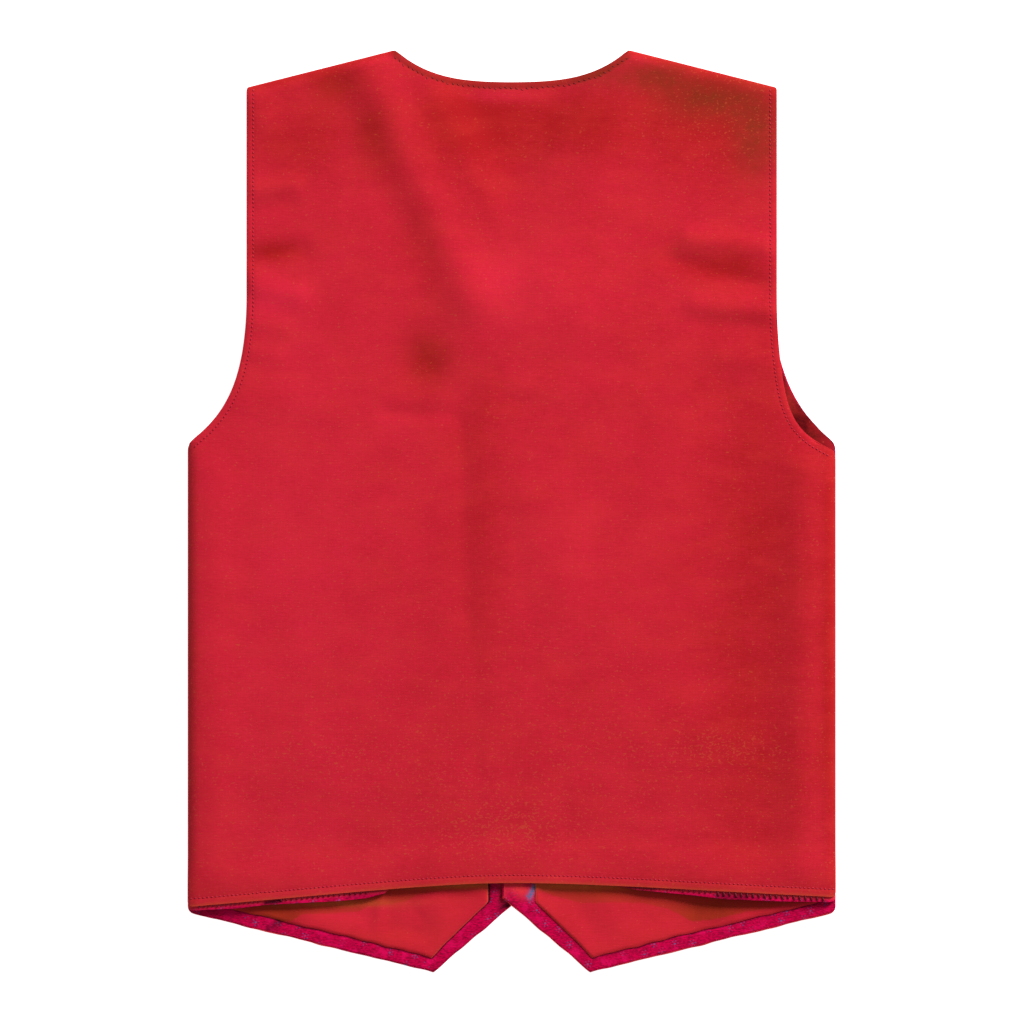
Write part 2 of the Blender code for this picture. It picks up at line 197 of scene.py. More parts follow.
# Columns of a front from its side, and rows from its hem, where a cloth starts or ends
LINING_SIDE_COLUMN = len(SIDE_STEPS)
FACING_INNER_COLUMN = LINING_SIDE_COLUMN + ACROSS + len(LINING_FOOT)
LINING_EDGE_COLUMN = FACING_INNER_COLUMN + 2
FACING_OUTER_COLUMN = LINING_EDGE_COLUMN + 2 + FACING_ACROSS
LAST_COLUMN = FACING_OUTER_COLUMN + RIM
LINING_EDGE_ROW = RIM + 5
FACING_INNER_ROW = LINING_EDGE_ROW + 2


def blend(a, b, t):
    return a + (b - a) * t


def clamp(value):
    return max(0.0, min(1.0, value))


def soft_step(value):
    t = clamp(value)
    return t * t * (3 - 2 * t)


def to_segment(x, y, x0, y0, x1, y1):
    """Distance from a point to a straight stretch."""
    along_x = x1 - x0
    along_y = y1 - y0
    t = clamp(((x - x0) * along_x + (y - y0) * along_y) / max(along_x ** 2 + along_y ** 2, 1e-12))
    return math.hypot(x - x0 - t * along_x, y - y0 - t * along_y)


def ripple(x, y, length, layer=0.0):
    """Smooth noise over the cloth, with waves of about a length."""
    return noise.noise(Vector((x, y, layer)) / length)


def rounded_tip(away):
    """How much is taken off a tip to round it, at a distance along its edge."""
    return TIP_ROUND * max(0.0, 1 - abs(away) / TIP_REACH) ** 2


def armhole_x(armhole, y):
    """Half width of a panel at a height: the side seam, then the armhole's curve, then its straight part."""
    if y <= armhole.base_y:
        return CHEST_HALF - rounded_tip(y - armhole.base_y)
    s = clamp((ARMHOLE_STRAIGHT_Y - y) / (ARMHOLE_STRAIGHT_Y - armhole.base_y))
    curve = armhole.wide_share * s ** 2 + (1 - armhole.wide_share) * s ** armhole.tight_power
    return blend(armhole.edge_x, CHEST_HALF, curve) - rounded_tip(y - armhole.base_y)


def corner_lift(from_side, from_end, radius):
    """How far a point moves in to round a corner. It fades out over three radii, so rows stay in order."""
    short = max(0.0, radius - from_side)
    return (radius - math.sqrt(radius ** 2 - short ** 2)) * max(0.0, 1 - from_end / (3 * radius))


def open_edge_x(y):
    """The cutaway, front edge and V neck of the left front."""
    if y <= CUTAWAY_TOP_Y:
        return blend(-POINT_X, OVERLAP_HALF, (y + LENGTH_HALF) / (CUTAWAY_TOP_Y + LENGTH_HALF))
    if y <= V_BREAK_Y:
        return OVERLAP_HALF
    return blend(OVERLAP_HALF, -NECK_HALF, (y - V_BREAK_Y) / (LENGTH_HALF - V_BREAK_Y))


def facing_width(y):
    """Width of the facing that shows beside the open edge."""
    cross_y = blend(CUTAWAY_TOP_Y, -LENGTH_HALF, OVERLAP_HALF / (POINT_X + OVERLAP_HALF))
    if y <= cross_y:
        return blend(FACING_HEM, FACING_CORNER, (y + LENGTH_HALF) / (cross_y + LENGTH_HALF))
    return blend(FACING_CORNER, FACING_EDGE, min(1.0, (y - cross_y) / (CUTAWAY_TOP_Y - cross_y)))


def overlap_rise(x, y):
    """How far the right front's underside is lifted by the left front's open edge."""
    if x <= open_edge_x(y):
        return OVERLAP_RISE
    corners = [(open_edge_x(at), at) for at in (-LENGTH_HALF, CUTAWAY_TOP_Y, V_BREAK_Y, LENGTH_HALF)]
    away = min(to_segment(x, y, *a, *b) for a, b in zip(corners, corners[1:]))
    return OVERLAP_RISE * clamp(1 - (away - RISE_MARGIN) / RISE_RAMP)


def front_rows(armhole):
    """Heights of a front's rows, at its side and at its open edge."""
    hem_slope = math.atan((LENGTH_HALF + FRONT_SIDE_Y) / (CHEST_HALF - POINT_X))
    cut_slope = math.atan((CUTAWAY_TOP_Y + LENGTH_HALF) / (POINT_X + OVERLAP_HALF))
    side_share = 1 / math.cos(hem_slope)
    cut_share = math.sin(cut_slope) / math.sin(hem_slope + cut_slope)
    lining_edge = FACING_HEM / MM
    facing_inner = lining_edge + FACING_LAP / MM
    hem_steps = [*RIM_STEPS, *HEM_STEPS]
    hem_steps += [lining_edge - step for step in (*reversed(BESIDE_LINING), 0.0)]
    hem_steps += [(lining_edge + facing_inner) / 2, facing_inner]
    hem_steps += [facing_inner + step for step in LINING_FOOT]
    rows = [(FRONT_SIDE_Y + step * MM * side_share, -LENGTH_HALF + step * MM * cut_share)
            for step in hem_steps]
    runs = [(side * MM, edge * MM, count) for side, edge, count in LOW_RUNS]
    runs += [(armhole.base_y + side * MM, edge * MM, count) for side, edge, count in ARMHOLE_RUNS]
    runs.append((SHOULDER_TIP_Y - SHOULDER_INSET, LENGTH_HALF - SHOULDER_INSET, SHOULDER_ROWS))
    runs.append((SHOULDER_TIP_Y, LENGTH_HALF, INSET_ROWS))
    for side_end, open_end, count in runs:
        side_start, open_start = rows[-1]
        rows += [(blend(side_start, side_end, k / count), blend(open_start, open_end, k / count))
                 for k in range(1, count + 1)]
    return rows


def front_points(sign, armhole):
    """The x and y of a front's grid points, by row and column."""
    points = {}
    rows = front_rows(armhole)
    for row, (side_y, open_y) in enumerate(rows):
        side_x = -armhole_x(armhole, side_y)
        open_x = open_edge_x(open_y)
        length = math.hypot(open_x - side_x, open_y - side_y)
        at_seam = side_y < armhole.base_y + SIDE_INSET_END[sign]
        inset = LINING_SIDE_INSET if at_seam else LINING_ARMHOLE_INSET
        edge = length - facing_width(open_y)
        inner = edge - FACING_LAP
        foot = inner - LINING_FOOT[-1] * MM
        beside = [edge + step * MM for step in BESIDE_LINING]
        places = [inset * share for share in SIDE_STEPS]
        places += [blend(inset, foot, k / ACROSS) for k in range(ACROSS + 1)]
        places += [inner - step * MM for step in (*reversed(LINING_FOOT[:-1]), 0.0)]
        places += [edge - FACING_LAP / 2, edge, *beside]
        places += [blend(beside[-1], length - RIM_STEPS[-1] * MM, k / FACING_ACROSS)
                   for k in range(1, FACING_ACROSS + 1)]
        places += [length - step * MM for step in reversed(RIM_STEPS[:-1])]
        for column, place in enumerate(places):
            x = blend(side_x, open_x, place / length)
            y = blend(side_y, open_y, place / length)
            y += corner_lift(x - side_x, side_y - FRONT_SIDE_Y, SIDE_CORNER)
            y += WAVER * ripple(x, y, WAVER_LENGTH, sign * MM) * soft_step(1 - y / V_BREAK_Y)
            points[row, column] = (-sign * x, min(y, LENGTH_HALF - NECK_POINT_BLUNT))
    return points, len(rows) - 1


def along_lines(lines, x, y):
    """Sum of what a table of soft lines adds at a point.

    A soft line is straight: its name, its two ends and its half width in millimetres, and its amount, a
    crease's height in millimetres or a colour's share. It ends three half widths away.
    """
    total = 0.0
    for _, x0, y0, x1, y1, half_width, amount in lines:
        reach = half_width * MM
        if (min(x0, x1) * MM - 3 * reach < x < max(x0, x1) * MM + 3 * reach
                and min(y0, y1) * MM - 3 * reach < y < max(y0, y1) * MM + 3 * reach):
            away = to_segment(x, y, x0 * MM, y0 * MM, x1 * MM, y1 * MM)
            total += amount * math.exp(-((away / reach) ** 2))
    return total


def patched(patches, x, y):
    """Sum of what a table of soft patches adds at a point.

    A patch is its name, its middle and its half widths in millimetres, and its amount.
    """
    x /= MM
    y /= MM
    return sum(amount * math.exp(-(((x - at_x) / half_x) ** 2 + ((y - at_y) / half_y) ** 2))
               for _, at_x, at_y, half_x, half_y, amount in patches)


def cloth_sheet(name, points, last_row, last_column, keep, top, under, material, marks):
    """A cloth over the kept cells of a grid of points, between the heights of its upper and its under side.

    Each mark is a share that the material reads: its name, and a function of the point, its row and column.
    """
    bm = bmesh.new()
    bmesh.ops.create_grid(bm, x_segments=last_column, y_segments=last_row, size=0.5)
    for mark in marks:
        bm.verts.layers.float.new(mark)
    places = {vert: (round((vert.co.y + 0.5) * last_row), round((vert.co.x + 0.5) * last_column))
              for vert in bm.verts}
    spare = [face for face in bm.faces
             if not keep(*[min(places[vert][axis] for vert in face.verts) for axis in (0, 1)])]
    bmesh.ops.delete(bm, geom=spare, context="FACES")
    for vert in bm.verts:
        x, y = points[places[vert]]
        vert.co = (x, y, top(x, y, *places[vert]))
        for mark, share in marks.items():
            vert[bm.verts.layers.float[mark]] = share(x, y, *places[vert])
    lower = {vert.co.to_tuple(6)[:2]: under(vert.co.x, vert.co.y, *places[vert]) for vert in bm.verts}
    raised = bmesh.ops.extrude_face_region(bm, geom=bm.faces[:], use_keep_orig=True)
    for item in raised["geom"]:
        if isinstance(item, bmesh.types.BMVert):
            item.co.z = lower[item.co.to_tuple(6)[:2]]
    bmesh.ops.recalc_face_normals(bm, faces=bm.faces[:])
    return new_piece(name, bm, material)


def new_piece(name, bm, material):
    """A smooth piece from a mesh, with the given cloth or thread, that lies on the frame's one body."""
    for face in bm.faces:
        face.smooth = True
    mesh = bpy.data.meshes.new(name)
    bm.to_mesh(mesh)
    bm.free()
    mesh.materials.append(material)
    piece = bpy.data.objects.new(name, mesh)
    scene.collection.objects.link(piece)
    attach(piece, "root")
    return piece


def soften_edges(piece, width):
    """Rounds a cloth's rim."""
    bevel = piece.modifiers.new("rounded_rim", "BEVEL")
    bevel.width = width
    bevel.segments = 2
    bevel.limit_method = "ANGLE"
    bevel.angle_limit = math.radians(50)
    bevel.harden_normals = True


# Crimson jacquard of rayon and metal-free lurex: a satin ground whose sheen is painted in as a pinker
# mottling, with small rosettes in purple and blue weft. Its threads of 0.25 mm are too fine to show, so
# they are drawn 0.9 mm wide.
GROUND_BRIGHT = "#CE0642"
GROUND_DEEP = "#8A0628"
GROUND_SHEEN_PINK = "#D00A50"
ROSETTE_PURPLE = "#6E3A78"
ROSETTE_BLUE = "#4E5590"
# Coral for painted highlights on edges, and for coral patches
HIGHLIGHT_CORAL = "#D8303A"
MARK_BLUE = "#40608A"
SHADE_AND_STAIN_MAROON = "#3C0618"
ROSETTE_SPACING = 11.5 * MM
MOTTLE_SIZE = 9 * MM
THREAD_DRAWN = 0.9 * MM
THREAD_LENGTH = 2.6 * THREAD_DRAWN
# A rosette is a ring of dots; its sizes are shares of the spacing
ROSETTE_DOTS = 6.0
ROSETTE_RING = 0.20
ROSETTE_DOT = 0.07


def brocade_material(name, bright, deep, sheen_pink):
    """Jacquard brocade: mottled threads, a lattice of rosettes, and a painted sheen of pinker mottling."""
    material, node = new_material(name)
    where = node("TexCoord", {}, "Object")
    along = node("VectorMath", {0: where, 1: (1 / THREAD_LENGTH, 1 / THREAD_DRAWN, 1 / THREAD_DRAWN)},
                 operation="MULTIPLY")
    threads = node("TexNoise", {"Vector": along, "Scale": 1.0, "Detail": 2.0, "Roughness": 0.7})
    mottle = node("TexNoise", {"Vector": where, "Scale": 1 / MOTTLE_SIZE, "Detail": 2.0})
    level = node("MapRange", {"Value": threads, "From Min": 0.36, "From Max": 0.64})
    colour = node("Mix", {0: level, 6: linear(deep), 7: linear(bright)}, 2, data_type="RGBA")
    # A painted sheen: a pinker tint over parts of the mottling
    painted_sheen = node("MapRange", {"Value": mottle, "From Min": 0.52, "From Max": 0.68, "To Max": 0.55})

    lattice = node("Mapping", {"Vector": where, "Rotation": (0, 0, math.radians(45)),
                               "Scale": (1 / ROSETTE_SPACING,) * 3})
    flat = node("VectorMath", {0: lattice, 1: (1, 1, 0)}, operation="MULTIPLY")
    from_middle = node("TexVoronoi", {"Vector": flat, "Scale": 1.0, "Randomness": 0.55}, "Distance",
                       voronoi_dimensions="2D")
    offset = node("VectorMath", {0: flat, 1: from_middle.node.outputs["Position"]}, operation="SUBTRACT")
    offset_x = node("SeparateXYZ", {0: offset})
    angle = node("Math", {0: offset_x.node.outputs[1], 1: offset_x}, operation="ARCTAN2")
    turned = node("Math", {0: angle, 1: ROSETTE_DOTS}, operation="MULTIPLY")
    wave = node("Math", {0: turned}, operation="COSINE")
    dot_reach = node("Math", {0: wave, 1: ROSETTE_DOT}, operation="MULTIPLY")
    from_ring = node("Math", {0: from_middle, 1: ROSETTE_RING}, operation="SUBTRACT")
    off_ring = node("Math", {0: from_ring}, operation="ABSOLUTE")
    inside = node("Math", {0: dot_reach, 1: off_ring}, operation="SUBTRACT")
    in_dots = node("MapRange", {"Value": inside, "From Min": -0.02, "From Max": 0.02})
    in_heart = node("MapRange", {"Value": from_middle, "From Min": 0.09, "From Max": 0.05})
    # The rosettes' threads lie over and under the ground's, so the ground shows through them in specks
    speckled = node("MapRange", {"Value": threads, "From Min": 0.44, "From Max": 0.56, "To Min": 0.85,
                                 "To Max": 0.1})
    here_and_there = node("MapRange", {"Value": mottle, "From Min": 0.57, "From Max": 0.47})
    broken = node("Math", {0: speckled, 1: here_and_there}, operation="MULTIPLY")
    spread = node("MapRange", {"Value": threads, "From Min": 0.36, "From Max": 0.64, "To Min": 1.2,
                               "To Max": 0.75})
    layers = [(painted_sheen, sheen_pink)]
    for part, tint in ((in_dots, ROSETTE_PURPLE), (in_heart, ROSETTE_BLUE)):
        layers.append((node("Math", {0: part, 1: broken}, operation="MULTIPLY"), tint))
    # Marks: a coral painted highlight, a blue motif, and painted shade in gaps and under laps, also used for
    # a stain
    for mark, tint in (("coral_and_highlight", HIGHLIGHT_CORAL), ("blue", MARK_BLUE), ("shade", SHADE_AND_STAIN_MAROON)):
        share = node("Attribute", {}, "Fac", attribute_name=mark)
        layers.append((node("Math", {0: share, 1: spread}, operation="MULTIPLY", use_clamp=True), tint))
    for share, tint in layers:
        colour = node("Mix", {0: share, 6: colour, 7: linear(tint)}, 2, data_type="RGBA")
    relief = node("Math", {0: in_dots, 1: 0.6, 2: threads}, operation="MULTIPLY_ADD")
    bump = node("Bump", {"Height": relief, "Distance": 0.18 * MM, "Strength": 0.8})
    shader = node("BsdfPrincipled", {"Base Color": colour, "Roughness": 0.52, "Specular IOR Level": 0.03,
                                     "Sheen Weight": 0.01, "Sheen Roughness": 0.4, "Normal": bump})
    node("OutputMaterial", {"Surface": shader})
    return material


# A painted coral highlight along the fronts' turned edges, which shows as a thin rim
CORAL_RIM = (
    ("left hem", -200, -322, -136, -337.6, 1.0, 0.9),
    ("right hem", 84, -350.3, 250, -309.8, 1.0, 0.9),
    ("right cutaway", 58, -353.9, -7.5, -298.2, 1.4, 1.0),
)
FRONT_SHADES = (("beside the right armhole", 222, 78, 250, 52, 4.0, 0.75),)
front_brocade = brocade_material("crimson_brocade_front", GROUND_BRIGHT, GROUND_DEEP, GROUND_SHEEN_PINK)
fronts = {}
for side, sign, armhole in (("left", -1, LEFT_FRONT_ARMHOLE), ("right", 1, RIGHT_FRONT_ARMHOLE)):
    points, last_row = front_points(sign, armhole)
    lapped = max(sign, 0)

    def under_front(x, y, row, column):
        return lapped * overlap_rise(x, y)

    def on_front(x, y, row, column):
        """The roll at the turned edges, and the flat panel inside it."""
        from_edge = min(row, LAST_COLUMN - column)
        height = RIM_HEIGHTS[from_edge] * MM if from_edge <= RIM else CLOTH
        return under_front(x, y, row, column) + height

    front = cloth_sheet(side + "_front", points, last_row, LAST_COLUMN, lambda row, column: True,
                        on_front, under_front, front_brocade,
                        {"coral_and_highlight": lambda x, y, *place: along_lines(CORAL_RIM, x, y),
                         "shade": lambda x, y, *place: along_lines(FRONT_SHADES, x, y)})
    soften_edges(front, EDGE_ROUND)
    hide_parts("front_" + side)
    fronts[side] = (points, last_row, lapped)


# Facings of the fronts
# A strip of the same brocade, cut to the shape of each front's hem, cutaway, front edge and V neck. It is
# sewn to the front's edge and turned to the inside, so it lies a hair inside the rim and puckers slightly.
FACING_PUCKER = 0.22 * MM
PUCKER_LENGTH = 13.0 * MM
PUCKER_CELLS = 3
FoldShade = namedtuple("FoldShade", "by_hem by_cutaway")
FOLD_SHADES = {"left": FoldShade(0.45, 0.95), "right": FoldShade(0.60, 0.12)}
FACING_SHADES = (
    ("stain by the left hem", -179, -317, -188, -323, 3.0, 0.65),
    ("left front edge, inner side", -17.5, -284, -17.5, -300, 1.4, 0.8),
    ("left front edge, beside the right front", -8.5, -284, -8.5, -302, 1.4, 0.8),
    ("below the lap of the fronts", -8, -306, -1, -303.5, 2.4, 0.95),
    ("left point", -61, -354, -60, -352, 2.0, 0.5),
    ("right point", 62, -343, 66, -341, 2.5, 0.4),
)
# Coral on the right front's edge: a patch at its upper end, and a painted highlight along the edge
FACING_CORAL_AND_HIGHLIGHT = (
    ("right front edge, upper part", -4, -284, 8, -292, 6.0, 1.1),
    ("right front edge", -6.5, -300, -6.5, -284, 2.5, 0.6),
)
FACING_BLUE = (("motif beside the right lining", 17.5, -290, 13.5, -297.5, 2.0, 1.1),)
facing_brocade = brocade_material("crimson_brocade_facing", "#CE0044", "#86052E", "#E00A5A")


def fold_shade(side, row, column):
    """The dark line on the facing beside the lining's fold."""
    if row >= LINING_EDGE_ROW and 0 <= column - LINING_EDGE_COLUMN <= 1:
        return FOLD_SHADES[side].by_cutaway
    if column <= LINING_EDGE_COLUMN and 0 <= LINING_EDGE_ROW - row <= 1:
        return FOLD_SHADES[side].by_hem
    return 0.0


for side in ("left", "right"):
    points, last_row, lapped = fronts[side]

    def under_facing(x, y, row, column):
        """Height of the facing's underside, which puckers where the lining leaves it free."""
        free = clamp(max(LINING_EDGE_ROW - row, column - LINING_EDGE_COLUMN) / PUCKER_CELLS)
        pucker = FACING_PUCKER * (1 + ripple(x, y, PUCKER_LENGTH))
        return lapped * overlap_rise(x, y) + LAYER + pucker * free

    facing = cloth_sheet(
        side + "_facing", points, last_row, LAST_COLUMN,
        lambda row, column: RIM <= row < last_row - INSET_ROWS and column < FACING_OUTER_COLUMN
        and (row < FACING_INNER_ROW or column >= FACING_INNER_COLUMN),
        lambda *place: under_facing(*place) + CLOTH, under_facing, facing_brocade,
        {"shade": lambda x, y, *place: fold_shade(side, *place) + along_lines(FACING_SHADES, x, y),
         "coral_and_highlight": lambda x, y, *place: along_lines(FACING_CORAL_AND_HIGHLIGHT, x, y),
         "blue": lambda x, y, *place: along_lines(FACING_BLUE, x, y)})
    soften_edges(facing, EDGE_ROUND)
    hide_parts("front_" + side + "_facing")


# Linings of the fronts
# Thin plain red cloth, felled by hand over the inner edge of the facing, with a fold that stands a little
# proud of it. It is softer than the back, so it keeps small creases where it was turned and felled.
LINING_DROP = 0.22 * MM
LINING_FOLD = 0.4 * MM
LINING_CREASES = (
    ("left upright crease", -101, -292, -104, -330, 5, 0.9),
    ("left slack by the hem", -165, -312, -120, -322, 8, 0.7),
    ("left slack by the point", -92, -338, -74, -344, 6, 0.5),
    ("left billow", -60, -305, -48, -322, 13, 0.8),
    ("left small crease", -82, -300, -70, -316, 4, -0.4),
    ("right billow", 76, -306, 84, -328, 15, 0.9),
    ("right slack by the cutaway", 40, -305, 58, -330, 7, 0.5),
    ("right slack by the hem", 120, -322, 168, -310, 7, 0.6),
    ("right small crease", 104, -300, 112, -314, 5, -0.4),
    ("left side crease", -190, -200, -180, 40, 14, 0.3),
    ("right side crease", 175, -220, 190, 60, 14, 0.3),
    ("left shoulder crease", -150, 180, -120, 300, 12, 0.3),
    ("right shoulder crease", 145, 170, 125, 300, 12, 0.3),
)
LINING_RIPPLE = 0.30 * MM
LINING_RIPPLE_LENGTH = 24 * MM
LINING_SHOWN_Y = -270 * MM
LINING_SHOWN_FADE = 15 * MM
LINING_EDGE_ROUND = 0.2 * MM
PUCKER_RING = Vector((-22.5, -303.0)) * MM
PUCKER_RING_RADIUS = 5.0 * MM
PUCKER_RING_HALF_WIDTH = 1.6 * MM
PUCKER_RING_HEIGHT = 0.8 * MM
ORANGE_RED = "#C8322A"
OLIVE_HIGHLIGHT_AND_TINT = "#CA5E2C"
SHADED_RED = "#4C0408"
HEM_SHADOW_BROWN = "#A22C1A"
WEAVE_DRAWN = 1.15 * MM
WARP_SLUB = (0.9 * MM, 6.0 * MM, 2 * MM)
WEFT_SLUB = (4.5 * MM, 0.9 * MM, 2 * MM)
DYE_STREAK = (40 * MM, 16 * MM, 30 * MM)
FLECK_SIZE = (2.1 * MM, 1.4 * MM, 2 * MM)
DYE_CLOUD = 38 * MM
WORN_PATCH = 7 * MM


def plain_weave_material(name, deep, bright, brown, fleck, fleck_share):
    """Plain woven red cotton: a fine grid of threads, slubs along the weft, a few flecks, uneven dye, and
    painted light and shade.
    """
    material, node = new_material(name)
    where = node("TexCoord", {}, "Object")
    # Real threads are 0.4 mm apart, too fine to show, so they are drawn at nearly three times that
    weft, warp = [node("TexWave", {"Vector": where, "Scale": math.pi / (10 * WEAVE_DRAWN), "Distortion": 2.4,
                                   "Detail": 1.0, "Detail Scale": 3.0}, "Fac", bands_direction=direction)
                  for direction in "YX"]
    weave = node("Math", {0: weft, 1: warp}, operation="MULTIPLY")
    along_weft, along_warp, streaky, short = [
        node("VectorMath", {0: where, 1: [1 / length for length in size]}, operation="MULTIPLY")
        for size in (WEFT_SLUB, WARP_SLUB, DYE_STREAK, FLECK_SIZE)]
    slubs = node("TexNoise", {"Vector": along_weft, "Scale": 1.0, "Detail": 2.0})
    ends = node("TexNoise", {"Vector": along_warp, "Scale": 1.0, "Detail": 2.0})
    dye = node("TexNoise", {"Vector": where, "Scale": 1 / DYE_CLOUD, "Detail": 3.0})
    # The placed tone is painted light and shade: lower in troughs and shaded slopes, higher on lit ones
    total = node("Attribute", {}, "Fac", attribute_name="shade_and_light_tone")
    for part, share in ((slubs, 0.55), (ends, 0.30), (dye, 0.45)):
        total = node("Math", {0: part, 1: share, 2: total}, operation="MULTIPLY_ADD")
    share = node("Math", {0: total, 1: 0.15}, operation="SUBTRACT", use_clamp=True)
    colour = node("Mix", {0: share, 6: linear(deep), 7: linear(bright)}, 2, data_type="RGBA")
    drift = node("TexNoise", {"Vector": streaky, "Scale": 1.0, "Detail": 4.0, "Roughness": 0.65})
    drifted = node("MapRange", {"Value": drift, "From Min": 0.42, "From Max": 0.62, "To Max": 0.16})
    uneven = node("TexNoise", {"Vector": where, "Scale": 1 / WORN_PATCH, "Detail": 4.0, "Roughness": 0.7})
    spread = node("MapRange", {"Value": uneven, "From Min": 0.35, "From Max": 0.65, "To Min": 0.75,
                               "To Max": 1.15})
    # The shade's field is 0.5 at its edge, which wavers a little, and changes by 1 in HEM_SHADE_REACH
    into_shade = node("Attribute", {}, "Fac", attribute_name="under_hem")
    wavering = node("Math", {0: uneven, 1: 0.10, 2: into_shade}, operation="MULTIPLY_ADD")
    in_shade = node("MapRange", {"Value": wavering, "From Min": 0.525, "From Max": 0.575})
    specks = node("TexNoise", {"Vector": short, "Scale": 1.0, "Detail": 1.0, "Distortion": 0.4})
    where_flecks = node("Attribute", {}, "Fac", attribute_name="flecks")
    limit = node("Math", {0: where_flecks, 1: -0.10, 2: fleck_share}, operation="MULTIPLY_ADD")
    over = node("Math", {0: specks, 1: limit}, operation="SUBTRACT")
    layers = [(drifted, ORANGE_RED)]
    # Marks: painted shadow below the back hem, browning partly painted warm shade, olive painted highlights,
    # and painted shade
    for mark, limits, tint in (("hem_shade", in_shade, HEM_SHADOW_BROWN), ("brown_tint_and_shade", spread, brown),
                               ("olive_highlight_and_tint", spread, OLIVE_HIGHLIGHT_AND_TINT), ("shade", spread, SHADED_RED)):
        amount = node("Attribute", {}, "Fac", attribute_name=mark)
        layers.append((node("Math", {0: amount, 1: limits}, operation="MULTIPLY", use_clamp=True), tint))
    flecked = node("MapRange", {"Value": over, "From Min": 0.0, "From Max": 0.05, "To Max": 0.34})
    layers.append((flecked, fleck))
    for share, tint in layers:
        colour = node("Mix", {0: share, 6: colour, 7: linear(tint)}, 2, data_type="RGBA")
    relief = node("Math", {0: weave, 1: 0.5, 2: slubs}, operation="MULTIPLY_ADD")
    bump = node("Bump", {"Height": relief, "Distance": 0.10 * MM, "Strength": 0.7})
    shader = node("BsdfPrincipled", {"Base Color": colour, "Roughness": 0.85, "Specular IOR Level": 0.05,
                                     "Sheen Weight": 0.02, "Sheen Roughness": 0.5, "Normal": bump})
    node("OutputMaterial", {"Surface": shader})
    return material


# Painted light and shade on the linings, with olive painted light along the fold and in the hem's shadow
LINING_SHADE_AND_LIGHT = (
    ("in the right armhole", 222, 66, 16, 26, -0.6),
    ("left light", -120, -312, 60, 8, 0.2),
)
LINING_SHADED = (
    ("in the right armhole", 222, 68, 18, 28, 0.90),
    ("in the right armhole corner", 243, 52, 14, 9, 0.5),
    ("upper end of the right armhole", 208, 100, 6, 14, 0.75),
    ("right shade", 154, -312, 20, 8, 0.36),
    ("left shade", -170, -314, 12, 6, 0.26),
)
# Olive on the linings: painted light in the back hem's shadow, and olive lines in the right armhole
LINING_OLIVE_HIGHLIGHT_AND_TINT = (
    ("left of the middle", -50, -288, 60, 3, 0.8),
    ("under the strip", -150, -302, 50, 3, 0.7),
    ("right of the middle", 55, -289, 40, 3.5, 0.8),
    ("in the right armhole", 212, 72, 5, 16, 0.35),
    ("in the right armhole, lower end", 226, 56, 8, 5, 0.35),
)
# A painted highlight along the lining's fold
FOLD_HIGHLIGHT = 0.35
# The brown painted shadow just below the back hem ends in an uneven edge, from left to right in millimetres
HEM_SHADE_EDGE = {
    "left": ((-201, -311), (-177, -317), (-169, -315.6), (-162, -311), (-139, -310.3), (-117, -309),
             (-110, -304.4), (-95, -303.6), (-80, -300.6), (-74, -296), (-57, -292.7), (-33, -290.2),
             (-18, -289.4)),
    "right": ((21, -291), (31, -296), (49, -301.6), (63, -302.7), (78, -301.6), (98, -301.9), (118, -306),
              (130, -311), (138, -316.6), (151, -315.6), (165, -312.8), (180, -309.4), (208, -304.4),
              (225, -301.9)),
}
HEM_SHADE_REACH = 30 * MM
HEM_SHADE_BOTTOM = -330 * MM
HEM_SHADE_TOP = -250 * MM
HEM_SHADE_DEPTH = 0.6
HEM_SHADE_DEPTHS = (
    ("left, thick", -178, -312, 16, 9, 0.5),
    ("right, thick", 152, -311, 22, 9, 0.6),
    ("right, thin", 68, -295, 20, 4, 0.2),
)


def under_hem(side, x, y):
    """Field of the brown painted shadow below the hem: 0.5 at its edge, more above it."""
    if not HEM_SHADE_BOTTOM < y < HEM_SHADE_TOP:
        return 0.0
    edge = HEM_SHADE_EDGE[side]
    for (x0, y0), (x1, y1) in zip(edge, edge[1:]):
        if x <= x1 * MM:
            break
    at_x = y0 + (y1 - y0) * clamp((x / MM - x0) / (x1 - x0))
    return clamp(0.5 + (y - at_x * MM) / HEM_SHADE_REACH)


def over_facing(row, column):
    """Share of the step that the lining climbs onto the facing's inner edge."""
    steps = (0.0, *LINING_FOOT)
    inside = min(row - FACING_INNER_ROW, FACING_INNER_COLUMN - column)
    return soft_step(1 - steps[max(0, min(inside, len(LINING_FOOT)))] / LINING_FOOT[-1])


